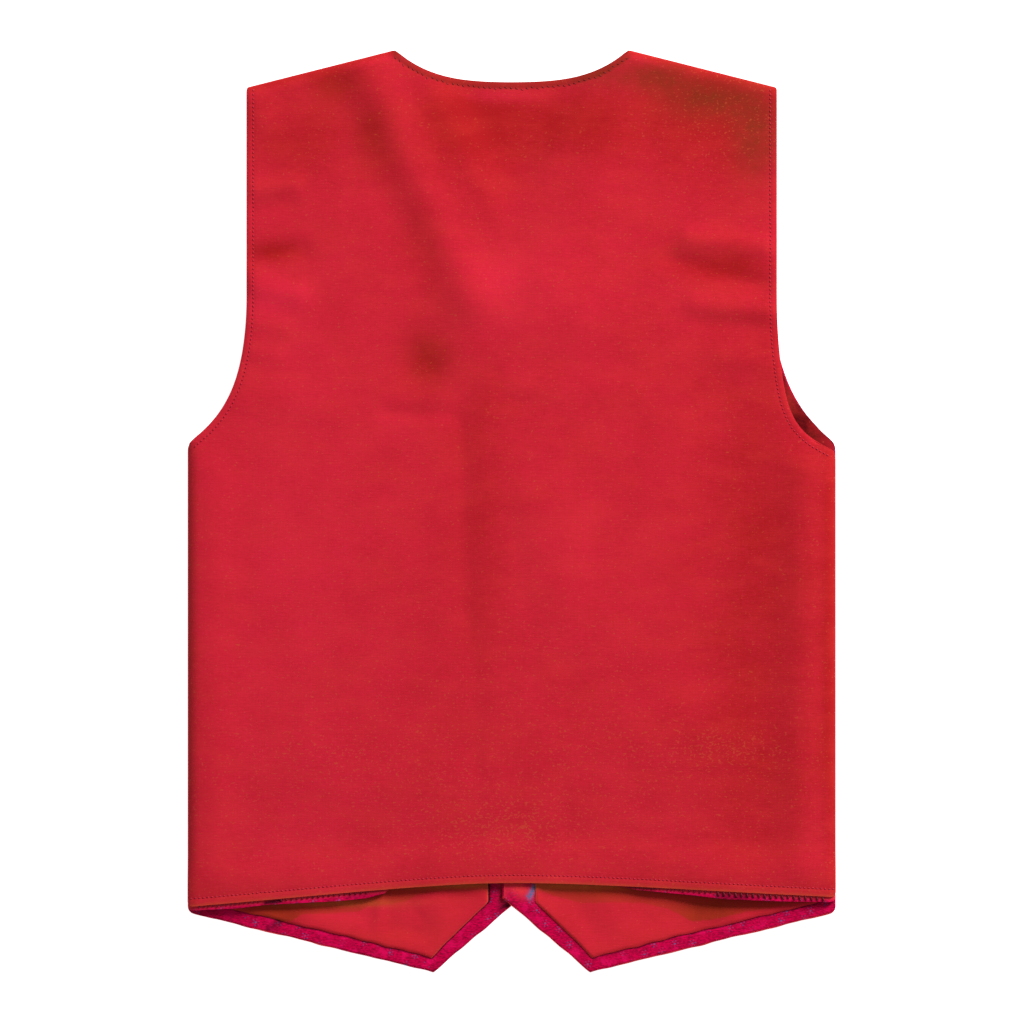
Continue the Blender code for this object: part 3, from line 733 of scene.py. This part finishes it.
lining_cotton = plain_weave_material("red_cotton_lining", "#AC1B20", "#CC2238", "#7F2A18", "#D0503C", 0.72)
for side in ("left", "right"):
    points, last_row, lapped = fronts[side]

    def under_lining(x, y, row, column):
        shown = soft_step((LINING_SHOWN_Y - y) / LINING_SHOWN_FADE)
        relief = MM * along_lines(LINING_CREASES, x, y)
        relief += shown * LINING_RIPPLE * ripple(x, y, LINING_RIPPLE_LENGTH, 3.0 * MM)
        from_ring = math.hypot(x - PUCKER_RING.x, y - PUCKER_RING.y) - PUCKER_RING_RADIUS
        relief += PUCKER_RING_HEIGHT * math.exp(-((from_ring / PUCKER_RING_HALF_WIDTH) ** 2))
        step = over_facing(row, column)
        drop = LINING_DROP if row == LINING_EDGE_ROW or column == LINING_EDGE_COLUMN else 0.0
        return lapped * overlap_rise(x, y) + LAYER * (1 + step) + max(relief, 0.0) * (1 - step) - drop

    def on_lining(x, y, row, column):
        at_fold = row == LINING_EDGE_ROW or column == LINING_EDGE_COLUMN
        return under_lining(x, y, row, column) + (LINING_FOLD if at_fold else CLOTH)

    lining = cloth_sheet(
        side + "_lining", points, last_row, LAST_COLUMN,
        lambda row, column: LINING_EDGE_ROW <= row < last_row - INSET_ROWS
        and LINING_SIDE_COLUMN <= column < LINING_EDGE_COLUMN,
        on_lining, under_lining, lining_cotton,
        {"shade_and_light_tone": lambda x, y, *place: patched(LINING_SHADE_AND_LIGHT, x, y),
         "shade": lambda x, y, *place: patched(LINING_SHADED, x, y),
         "under_hem": lambda x, y, *place: under_hem(side, x, y),
         "hem_shade": lambda x, y, *place: HEM_SHADE_DEPTH + patched(HEM_SHADE_DEPTHS, x, y),
         "olive_highlight_and_tint": lambda x, y, row, column: (patched(LINING_OLIVE_HIGHLIGHT_AND_TINT, x, y)
                                             + FOLD_HIGHLIGHT * (column == LINING_EDGE_COLUMN))})
    soften_edges(lining, LINING_EDGE_ROUND)
    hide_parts("front_" + side + "_lining")


# Back
# One panel of plain red cotton, laid over the fronts and joined to them along the side seams and shoulders.
# Its neck, armholes and hem are turned in and stitched, so they puff slightly outside the stitches. It sinks
# between the V neck's edges, and it rides up where the fronts overlap.
NECK_DEPTH = 24.8 * MM
BACK_HEM_Y = -286.6 * MM
BACK_HEM_FALL_LEFT = 18.6 * MM
BACK_HEM_FALL_RIGHT = 11.0 * MM
BACK_HEM_SOFTNESS = 0.25
LEFT_ARMHOLE = Armhole(SHOULDER_TIP_X, 52.7 * MM, 0.50, 5)
RIGHT_ARMHOLE = Armhole(SHOULDER_TIP_X, 46.5 * MM, 0.35, 9)
BACK_CLOTH = 1.2 * MM
BACK_LEVEL = 5.2 * MM
BACK_LOWEST = 3.95 * MM
BACK_OVER_OVERLAP = 5.5 * MM
BACK_IN_V_NECK = 1.2 * MM
V_NECK_LEDGE = 7 * MM
V_NECK_SLOPE = 34 * MM
V_BOTTOM_ROUND = 16 * MM
BACK_AT_SEAM = 1.3 * MM
BACK_AT_ARMHOLE = 4.4 * MM
SEAM_ROLL = 9.0 * MM
ARMHOLE_ROLL = 8.0 * MM
HEM_BAND = 14.0 * MM
HEM_BAND_FADE = 26.0 * MM
HEM_STITCHES = 6.2 * MM
NECK_STITCHES = 4.8 * MM
ARMHOLE_STITCHES = 5.2 * MM
BAND_PUFF = 0.12 * MM
BAND_PUFF_FADE = 1.5 * MM
STITCH_GROOVE = 0.14 * MM
STITCH_GROOVE_HALF_WIDTH = 1.1 * MM
NECK_BAND_SHARE = 0.999
BACK_BILLOW = 0.30 * MM
BACK_BILLOW_LENGTH = 70 * MM
BACK_RIPPLE = 0.10 * MM
BACK_RIPPLE_LENGTH = 19 * MM
# The lift over the fronts' overlap, which fades out at its left, its right and its top
LIFT_LEFT = -46 * MM
LIFT_LEFT_FADE = 30 * MM
LIFT_RIGHT = 82 * MM
LIFT_RIGHT_FADE = 56 * MM
LIFT_TOP = V_BREAK_Y + 60 * MM
LIFT_TOP_FADE = 40 * MM
NECK_ROUND = 0.35
NECK_BROWNING = 0.45
NECK_BROWNING_WIDTH = 7 * MM
NECK_BROWNING_FADE = 3 * MM
HEM_EDGE_HIGHLIGHT = 0.26
HEM_BAND_TINT = 0.04
HEM_HIGHLIGHT_WIDTH = 1.5 * MM
HEM_BAND_TINT_FADE = 2 * MM
BACK_EDGE_ROUND = 0.5 * MM
BACK_FOLDS = (
    ("left V neck crest", -114, 345, -34, 168, 19, 2.6),
    ("right V neck crest", 98, 348, 26, 184, 20, 1.6),
    ("shelf under the V", -18, 160, 52, 150, 34, 2.2),
    ("left shoulder trough", -120, 305, -68, 195, 17, -0.55),
    ("left shoulder slant", -140, 332, -192, 272, 14, -0.4),
    ("left shoulder tip", -196, 312, -190, 300, 12, 0.7),
    ("right shoulder trough", 110, 325, 190, 312, 16, -0.5),
    ("right shoulder tip", 195, 300, 197, 262, 12, -0.4),
    ("dimple beside the V", -71, 113, -68, 111, 17, -1.5),
    ("waist crease", -95, 76, -8, 73, 7, -0.7),
    ("waist light", 0, 95, 95, 92, 12, 0.5),
    ("middle trough", -28, 82, -20, -75, 17, -1.6),
    ("middle trough, lower end", -20, -75, -15, -190, 19, -0.5),
    ("beside the middle trough", 24, 0, 44, -70, 30, 1.2),
    ("left side crest", -232, 30, -232, -270, 16, 1.4),
    ("right side crest", 226, 30, 222, -270, 18, 2.8),
    ("right side trough", 165, 80, 168, -130, 34, -1.4),
    ("left armhole pucker 1", -198, 248, -168, 252, 7, 1.1),
    ("left armhole pucker 2", -198, 232, -172, 236, 6, -0.5),
    ("left armhole pucker 3", -198, 196, -163, 201, 8, -1.1),
    ("left armhole pucker 4", -198, 174, -165, 166, 9, 1.5),
    ("left armhole pucker 5", -200, 145, -176, 140, 7, 0.6),
    ("left armhole pucker 6", -202, 124, -180, 118, 7, 0.5),
    ("left armhole slack", -200, 88, -150, 84, 16, 0.7),
    ("right armhole pucker 1", 138, 210, 194, 204, 9, 1.6),
    ("right armhole pucker 2", 122, 194, 192, 175, 8, -1.2),
    ("right armhole pucker 3", 142, 159, 196, 155, 9, 1.5),
    ("right armhole pucker 4", 146, 146, 199, 141, 8, -0.5),
    ("right armhole pucker 5", 160, 120, 205, 112, 10, 0.6),
    ("left hem lift", -205, -298, -165, -293, 30, 2.0),
    ("right hem lift", 155, -288, 195, -291, 30, 2.9),
    ("hem ripple 1", -62, -287, -58, -262, 8, 0.4),
    ("hem ripple 2", 28, -287, 34, -255, 9, 0.4),
    ("hem ripple 3", 108, -288, 112, -262, 8, 0.5),
    ("lower left billow", -150, -200, -60, -215, 30, 0.5),
    ("lower right billow", 60, -180, 150, -170, 34, 0.5),
)
# Painted shade (below 0) and painted light on the back: darker in troughs and on slopes that face away
# from the lamp, lighter on those that face it; where it is browned, partly a tint and partly painted warm
# shade; and where it is flecked
BACK_SHADE_AND_LIGHT = (
    ("left shoulder trough 1", -108, 290, 16, 26, -0.36),
    ("left shoulder trough 2", -94, 262, 15, 20, -0.20),
    ("left shoulder trough 3", -74, 222, 16, 30, -0.20),
    ("left shoulder trough 4", -62, 176, 15, 30, -0.14),
    ("right armhole pucker", 158, 188, 40, 11, -0.48),
    ("right armhole light", 168, 208, 32, 10, -0.14),
    ("left armhole pucker", -182, 200, 22, 9, -0.60),
    ("left armhole light", -184, 163, 24, 11, 0.40),
    ("left side", -170, -60, 75, 260, 0.22),
    ("V shelf", -5, 168, 45, 40, 0.30),
    ("left V flank", -84, 296, 14, 36, 0.06),
    ("left of the neck's middle", -46, 308, 22, 24, -0.42),
    ("right side", 195, -30, 50, 170, -0.34),
    ("under the neck", 10, 300, 80, 30, -0.52),
    ("below the neck's middle", -8, 321, 32, 6, 0.5),
    ("low in the V", -22, 255, 34, 36, -0.26),
    ("middle trough", -24, 20, 22, 110, -0.21),
    ("beside the middle trough", 36, -40, 40, 60, 0.08),
    ("left shoulder", -165, 290, 40, 40, -0.35),
    ("right side, low", 190, -200, 60, 70, -0.20),
    ("right edge", 247, -100, 7, 200, -0.50),
    ("left shoulder edge", -150, 336, 60, 10, -0.15),
    ("left shoulder seam", -136, 328, 20, 15, -0.34),
    ("right shoulder", 150, 306, 60, 46, -0.52),
    ("dimple", -64, 118, 18, 23, -0.50),
)
# Browning: a tint on the right shoulder and neck, and painted warm shade at the left edge, trough and dimple
BROWN_TINT_AND_SHADE = (
    ("right shoulder seam", 112, 335, 25, 12, 0.70),
    ("right shoulder middle", 152, 318, 34, 16, 0.85),
    ("right shoulder tip", 188, 290, 18, 34, 0.80),
    ("neck band right", 70, 336, 26, 10, 0.35),
    ("left edge", -249, -100, 5, 190, 0.36),
    ("left trough", -108, 292, 16, 28, 0.14),
    ("left shoulder seam", -136, 328, 18, 12, 0.16),
    ("dimple", -64, 118, 18, 22, 0.20),
    ("hem band", 0, -291, 300, 7, 0.10),
)
FLECKED = (
    ("right of the waist", 165, -183, 45, 14, 0.9),
    ("low in the middle", -10, -245, 55, 24, 0.9),
    ("low at the left", -138, -186, 40, 10, 0.6),
    ("right shoulder", 165, 300, 60, 40, 0.6),
    ("lower back", 0, -200, 260, 90, 0.45),
)
SHOULDER_CORNER = 1.8 * MM
EDGE_STEPS = (0.0, 0.5, 1.2, 2.2, 3.4, 4.6, 5.4, 6.2, 7.0, 8.0, 10.0, 12.5)
GRID_SPACING = 4.0
# Rows up the back's sides: the lengths that those of the side seam and of the straight part are spread for,
# and the number of those of the armhole's curve, which crowd towards its base
SEAM_LENGTH = 355 * MM
STRAIGHT_LENGTH = 162 * MM
CURVE_ROWS = 44
CURVE_CROWDING = 1.5
EDGE_CROWDING = 1.6


def back_top_y(x):
    """The neck's curve, and beside it the shoulder seams."""
    from_point = abs(x) - NECK_HALF
    if from_point >= 0:
        y = blend(LENGTH_HALF, SHOULDER_TIP_Y, from_point / (SHOULDER_TIP_X - NECK_HALF))
    else:
        s = abs(x) / NECK_HALF
        y = LENGTH_HALF - NECK_DEPTH * (1 - NECK_ROUND * s ** 2 - (1 - NECK_ROUND) * s ** 4)
    return min(y, LENGTH_HALF - NECK_POINT_BLUNT)


def back_hem_y(x):
    fall = BACK_HEM_FALL_LEFT if x < 0 else BACK_HEM_FALL_RIGHT
    s = abs(x) / CHEST_HALF
    soft = BACK_HEM_SOFTNESS
    return BACK_HEM_Y - fall * (math.hypot(s, soft) - soft) / (math.hypot(1, soft) - soft)


def tree_of(path):
    """A search tree of an edge's points, for the distance to that edge."""
    tree = KDTree(len(path))
    for number, (x, y) in enumerate(path):
        tree.insert((x, y, 0.0), number)
    tree.balance()
    return tree


def armhole_edge(armhole, sign):
    """Points down an armhole's edge, about 1 mm apart, from the shoulder tip to the side seam."""
    height = SHOULDER_TIP_Y - armhole.base_y
    count = round(height / MM)
    heights = [armhole.base_y + height * (k / count) ** EDGE_CROWDING for k in range(count, -1, -1)]
    return [(sign * armhole_x(armhole, y), y) for y in heights]


neck_reach = round(NECK_HALF / MM)
neck_edge = [(x * MM, back_top_y(x * MM)) for x in range(-neck_reach, neck_reach + 1)]
armhole_edges = {"left": armhole_edge(LEFT_ARMHOLE, -1), "right": armhole_edge(RIGHT_ARMHOLE, 1)}
neck_tree = tree_of(neck_edge)
armhole_trees = {side: tree_of(edge) for side, edge in armhole_edges.items()}


def rolled(height, edge, share):
    """A round edge: a quarter of an ellipse from the edge's height up to the cloth's."""
    return blend(min(edge, height), height, math.sqrt(1 - (1 - clamp(share)) ** 2))


def band_relief(away, stitches):
    """The puff of a turned edge outside its stitches, and the groove that the stitches pull."""
    puff = BAND_PUFF * soft_step(away / BAND_PUFF_FADE) * soft_step((stitches - away) / BAND_PUFF_FADE)
    return puff - STITCH_GROOVE * math.exp(-(((away - stitches) / STITCH_GROOVE_HALF_WIDTH) ** 2))


def under_back(x, y, *place):
    """Height of the back's underside."""
    above_hem = y - back_hem_y(x)
    height = BACK_LEVEL + MM * along_lines(BACK_FOLDS, x, y)
    height += BACK_BILLOW * ripple(x, y, BACK_BILLOW_LENGTH)
    height += BACK_RIPPLE * ripple(x, y, BACK_RIPPLE_LENGTH)
    height = max(height, BACK_LOWEST)
    left = soft_step((x - LIFT_LEFT) / LIFT_LEFT_FADE)
    right = soft_step((LIFT_RIGHT - x) / LIFT_RIGHT_FADE)
    fade = soft_step((LIFT_TOP - y) / LIFT_TOP_FADE)
    height = max(height, blend(BACK_LOWEST, BACK_OVER_OVERLAP, min(left, right) * fade))
    v_half = -open_edge_x(max(y, V_BREAK_Y))
    into_v = v_half - math.hypot(x, V_BOTTOM_ROUND) - V_NECK_LEDGE
    height = blend(height, BACK_IN_V_NECK, soft_step(into_v / V_NECK_SLOPE))
    at_hem = 1 - soft_step((above_hem - HEM_BAND) / HEM_BAND_FADE)
    height += LAYER * at_hem
    if y < LEFT_ARMHOLE.base_y:
        height = rolled(height, blend(BACK_AT_SEAM, BACK_LOWEST, at_hem), (CHEST_HALF - abs(x)) / SEAM_ROLL)
    elif y < SHOULDER_TIP_Y:
        to_armhole = armhole_trees["left" if x < 0 else "right"].find((x, y, 0.0))[2]
        height = rolled(height, BACK_AT_ARMHOLE, to_armhole / ARMHOLE_ROLL)
        height += band_relief(to_armhole, ARMHOLE_STITCHES)
    if abs(x) >= NECK_HALF * NECK_BAND_SHARE:
        height = rolled(height, BACK_AT_SEAM, (back_top_y(x) - y) / SEAM_ROLL)
    else:
        height += band_relief(neck_tree.find((x, y, 0.0))[2], NECK_STITCHES)
    return height + band_relief(above_hem, HEM_STITCHES)


def stretch_steps(length, fine_start, fine_end):
    """Places along a stretch, close together at the ends that are fine."""
    start = [step * MM for step in EDGE_STEPS] if fine_start else [0.0]
    end = [length - step * MM for step in reversed(EDGE_STEPS)] if fine_end else [length]
    count = math.ceil((end[0] - start[-1]) / (GRID_SPACING * MM))
    middle = [blend(start[-1], end[0], k / count) for k in range(1, count)]
    return [place / length for place in start + middle + end]


def back_side(armhole, hem_y):
    """Points up one side of the back: the side seam, the armhole's curve, and its straight part."""
    seam = [blend(hem_y, armhole.base_y, t) for t in stretch_steps(SEAM_LENGTH, True, False)]
    curve = [blend(armhole.base_y, ARMHOLE_STRAIGHT_Y, (k / CURVE_ROWS) ** CURVE_CROWDING)
             for k in range(1, CURVE_ROWS + 1)]
    straight = [blend(ARMHOLE_STRAIGHT_Y, SHOULDER_TIP_Y, t)
                for t in stretch_steps(STRAIGHT_LENGTH, False, True)[1:]]
    return [(armhole_x(armhole, y), y) for y in seam + curve + straight]


# Darker along the shoulder and right side seams: the allowances' own line inside the turned edges, with
# painted shade over the rolled edges that the lamp lights
SEAM_SHADE_AND_LINES = (
    ("left shoulder seam", -90, 355.5, -203.5, 326.8, 3.2, -0.55),
    ("right shoulder seam", 90, 355.5, 203.5, 326.8, 3.2, -0.60),
    ("right side seam", 250, 40, 250, -296, 1.8, -0.40),
)


def browner_neck(x, y):
    """The neck's turned edge is browner than the cloth beside it."""
    if abs(x) > NECK_HALF:
        return 0.0
    return NECK_BROWNING * soft_step((NECK_BROWNING_WIDTH - neck_tree.find((x, y, 0.0))[2]) / NECK_BROWNING_FADE)


def hem_highlight_and_tint(above):
    """A painted highlight along the hem's turned edge, and a faint olive tint over its band."""
    in_band = soft_step((HEM_STITCHES - above) / HEM_BAND_TINT_FADE)
    return HEM_EDGE_HIGHLIGHT * math.exp(-((above / HEM_HIGHLIGHT_WIDTH) ** 2)) + HEM_BAND_TINT * in_band


left_side = back_side(LEFT_ARMHOLE, back_hem_y(-CHEST_HALF))
right_side = back_side(RIGHT_ARMHOLE, back_hem_y(CHEST_HALF))
columns = [2 * t - 1 for t in stretch_steps(2 * CHEST_HALF, True, True)]
back_points = {}
for row, ((left_x, left_y), (right_x, right_y)) in enumerate(zip(left_side, right_side)):
    up = (left_y - left_side[0][1]) / (SHOULDER_TIP_Y - left_side[0][1])
    for column, share in enumerate(columns):
        across = (share + 1) / 2
        sides_y = blend(left_y, right_y, across)
        corners_y = blend(blend(left_side[0][1], right_side[0][1], across), SHOULDER_TIP_Y, up)
        hem_y = back_hem_y(share * CHEST_HALF)
        top_y = back_top_y(share * SHOULDER_TIP_X)
        y = blend(hem_y, top_y, up) + sides_y - corners_y
        inside = across * (left_x + right_x)
        inside = min(inside, left_x + right_x - inside)
        y += corner_lift(inside, y - hem_y, SIDE_CORNER)
        y -= corner_lift(inside, top_y - y, SHOULDER_CORNER)
        back_points[row, column] = (blend(-left_x, right_x, across), y)

back_cotton = plain_weave_material("red_cotton_back", "#A0151A", "#CA2139", "#7A2613", "#B8502E", 0.68)
back = cloth_sheet("back_panel", back_points, len(left_side) - 1, len(columns) - 1, lambda row, column: True,
                   lambda x, y, *place: under_back(x, y) + BACK_CLOTH, under_back, back_cotton,
                   {"shade_and_light_tone": lambda x, y, *place: patched(BACK_SHADE_AND_LIGHT, x, y) + along_lines(SEAM_SHADE_AND_LINES, x, y),
                    "brown_tint_and_shade": lambda x, y, *place: patched(BROWN_TINT_AND_SHADE, x, y) + browner_neck(x, y),
                    "flecks": lambda x, y, *place: patched(FLECKED, x, y),
                    "olive_highlight_and_tint": lambda x, y, *place: hem_highlight_and_tint(y - back_hem_y(x))})
soften_edges(back, BACK_EDGE_ROUND)
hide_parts("back")


# Facing strip of the back hem
# A strip of the facings' brocade, sewn under the back's hem. Its edge shows below the hem at the left and
# right, as far as the table says: a place along the hem and a width below it, in millimetres.
STRIP_PEEK = (
    (-250, 3.0), (-211, 4.6), (-190, 3.8), (-132, 6.0), (-112, 5.6), (-98, 3.0), (-92, -2.0), (66, -2.0),
    (96, 2.5), (140, 4.5), (165, 6.0), (205, 5.5), (250, 4.0),
)
STRIP_TOP = 9.8 * MM
STRIP_COLUMNS = 250
STRIP_ROWS = 12
STRIP_SHARE = 0.999
STRIP_RIM = 3.5 * MM
STRIP_MARGIN = 0.2 * MM
STRIP_SHADES = (
    ("gap under the left hem", -190, -301.8, -178, -300.2, 1.7, 1.1),
    ("left end, below the hem's edge", -125, -296, -100, -292, 2.5, 0.4),
    ("right end, below the hem's edge", 70, -289, 110, -291, 2.0, 0.5),
    ("deep shade at the right", 160, -297, 180, -299, 4.0, 0.6),
)


def peek_below(x):
    """How far the strip shows below the hem, read between the places of its table."""
    for (near, below), (far, next_below) in zip(STRIP_PEEK, STRIP_PEEK[1:]):
        if x <= far * MM or far == STRIP_PEEK[-1][0]:
            return MM * blend(below, next_below, clamp((x / MM - near) / (far - near)))


def under_strip(x, y, *place):
    return under_back(x, max(y, back_hem_y(x) + STRIP_MARGIN)) - LAYER


strip_points = {}
for column in range(STRIP_COLUMNS + 1):
    x = blend(-CHEST_HALF, CHEST_HALF, column / STRIP_COLUMNS) * STRIP_SHARE
    hem_y = back_hem_y(x)
    for row in range(STRIP_ROWS + 1):
        y = blend(hem_y - peek_below(x), hem_y + STRIP_TOP, row / STRIP_ROWS)
        y += corner_lift(CHEST_HALF - abs(x), y - hem_y + peek_below(x), SIDE_CORNER)
        strip_points[row, column] = (x, y)
# Painted light: the strip is lightened in coral just below the hem's edge, where the hem's shadow falls
strip = cloth_sheet("back_hem_strip", strip_points, STRIP_ROWS, STRIP_COLUMNS, lambda row, column: True,
                    lambda *place: under_strip(*place) + CLOTH, under_strip, facing_brocade,
                    {"shade": lambda x, y, *place: along_lines(STRIP_SHADES, x, y),
                     "coral_and_highlight": lambda x, y, *place: soft_step(1 - (back_hem_y(x) - y) / STRIP_RIM)})
soften_edges(strip, EDGE_ROUND)
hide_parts("back_hem_facing")


# Stitches
# Rows of lockstitch in crimson polyester thread along the hem and the armholes, and slanted felling stitches
# in dark thread along the neck. Each stitch is a short rounded thread that sinks in at both ends.
Row = namedtuple("Row", "pitch length thickness slant wander")
HEM_ROW = Row(3.2 * MM, 2.4 * MM, 1.3 * MM, 0.0, 0.25 * MM)
NECK_ROW = Row(4.1 * MM, 2.2 * MM, 0.8 * MM, 1.8 * MM, 2.2 * MM)
FIRST_STITCH = 2.5 * MM
WANDER_LENGTH = 3 * MM
TWIST_SIZE = 0.8 * MM
STITCH_SUNK = 0.6
ABOVE_ALL = 0.1


def thread_material(name, colour):
    """Spun polyester thread: a faint twist along it and a low shine."""
    material, node = new_material(name)
    where = node("TexCoord", {}, "Object")
    twist = node("TexNoise", {"Vector": where, "Scale": 1 / TWIST_SIZE, "Detail": 2.0})
    level = node("MapRange", {"Value": twist, "To Min": 0.55, "To Max": 1.45})
    shade = node("VectorMath", {0: linear(colour)[:3], "Scale": level}, operation="SCALE")
    shader = node("BsdfPrincipled", {"Base Color": shade, "Roughness": 0.6, "Specular IOR Level": 0.2})
    node("OutputMaterial", {"Surface": shader})
    return material


def inset_path(edge, away, side):
    """An edge's points moved square to it by a distance, towards its left (1) or its right (-1)."""
    path = []
    for number, (x, y) in enumerate(edge):
        before_x, before_y = edge[max(number - 1, 0)]
        after_x, after_y = edge[min(number + 1, len(edge) - 1)]
        along = Vector((after_x - before_x, after_y - before_y)).normalized()
        path.append(Vector((x - side * along.y * away, y + side * along.x * away)))
    return path


def places_along(path, pitch, start):
    """Points at a steady pitch along a path, each with the path's direction there."""
    places = []
    to_next = start
    for a, b in zip(path, path[1:]):
        length = (b - a).length
        while to_next < length:
            places.append((a.lerp(b, to_next / length), (b - a).normalized()))
            to_next += pitch
        to_next -= length
    return places


def surface_z(tree, x, y):
    """Height of a piece's upper side at a point, or None beside the piece."""
    hit = tree.ray_cast(Vector((x, y, ABOVE_ALL)), Vector((0, 0, -1)))[0]
    return hit.z if hit else None


def surface_tree(piece):
    bm = bmesh.new()
    bm.from_mesh(piece.data)
    tree = BVHTree.FromBMesh(bm)
    bm.free()
    return tree


def thread_bars(name, surface, bars, thickness, sunk, material):
    """A piece of short rounded threads, each laid on a surface between two points."""
    bm = bmesh.new()
    for a, b in bars:
        heights = [surface_z(surface, *a), surface_z(surface, *b)]
        if None in heights:
            continue
        start = Vector((*a, heights[0]))
        end = Vector((*b, heights[1]))
        turn = (end - start).to_track_quat("X", "Z").to_matrix().to_4x4()
        size = Matrix.Diagonal(((end - start).length, thickness, thickness, 1))
        middle = (start + end) / 2 + Vector((0, 0, thickness * (0.5 - sunk)))
        bmesh.ops.create_uvsphere(bm, u_segments=6, v_segments=5, radius=0.5,
                                  matrix=Matrix.Translation(middle) @ turn @ size)
    return new_piece(name, bm, material)


crimson_thread = thread_material("crimson_polyester_thread", "#A4142C")
dark_thread = thread_material("dark_red_cotton_thread", "#741519")
back_surface = surface_tree(back)
hem_reach = round(CHEST_HALF / MM)
hem_edge = [(x * MM, back_hem_y(x * MM)) for x in range(1 - hem_reach, hem_reach)]
stitch_rows = (
    ("hem_stitches", hem_edge, HEM_STITCHES, 1, HEM_ROW, crimson_thread),
    ("left_armhole_stitches", armhole_edges["left"], ARMHOLE_STITCHES, 1, HEM_ROW, crimson_thread),
    ("right_armhole_stitches", armhole_edges["right"], ARMHOLE_STITCHES, -1, HEM_ROW, crimson_thread),
    ("neck_stitches", neck_edge, NECK_STITCHES, -1, NECK_ROW, dark_thread),
)
for name, edge, away, side, row, thread in stitch_rows:
    bars = []
    for place, along in places_along(inset_path(edge, away, side), row.pitch, FIRST_STITCH):
        across = Vector((-along.y, along.x)) * side
        middle = place + across * row.wander * ripple(*place, WANDER_LENGTH)
        reach = along * row.length / 2 + across * row.slant / 2
        bars.append((middle - reach, middle + reach))
    stitches = thread_bars(name, back_surface, bars, row.thickness, STITCH_SUNK, thread)


# Overlocking of the hem's raw edge
# Loops of dark maroon thread that bind the edge between the back and its strip, close together, longer and
# slanted towards the right.
Teeth = namedtuple("Teeth", "start end pitch length lean")
TEETH = (
    Teeth(-241, -192, 3.5, 2.2, 0.2),
    Teeth(-178, -106, 4.1, 2.6, 0.2),
    Teeth(66, 132, 3.0, 2.0, 0.2),
    Teeth(132, 158, 4.2, 2.8, 0.3),
    Teeth(158, 247, 4.5, 4.6, 0.4),
)
TOOTH_THICKNESS = 1.7 * MM
TOOTH_SUNK = 0.3
TOOTH_UNEVEN = 0.25
TOOTH_UNEVEN_LENGTH = 5 * MM
TOOTH_START = 0.6 * MM
maroon_thread = thread_material("maroon_overlock_thread", "#66081C")
strip_surface = surface_tree(strip)
bars = []
for run in TEETH:
    for number in range(int((run.end - run.start) / run.pitch)):
        x = (run.start + number * run.pitch) * MM
        length = run.length * MM * (1 + TOOTH_UNEVEN * ripple(x, 0.0, TOOTH_UNEVEN_LENGTH))
        top_y = back_hem_y(x) + TOOTH_START
        bars.append((Vector((x, top_y)), Vector((x + run.lean * length, top_y - length))))
teeth = thread_bars("hem_overlock", strip_surface, bars, TOOTH_THICKNESS, TOOTH_SUNK, maroon_thread)
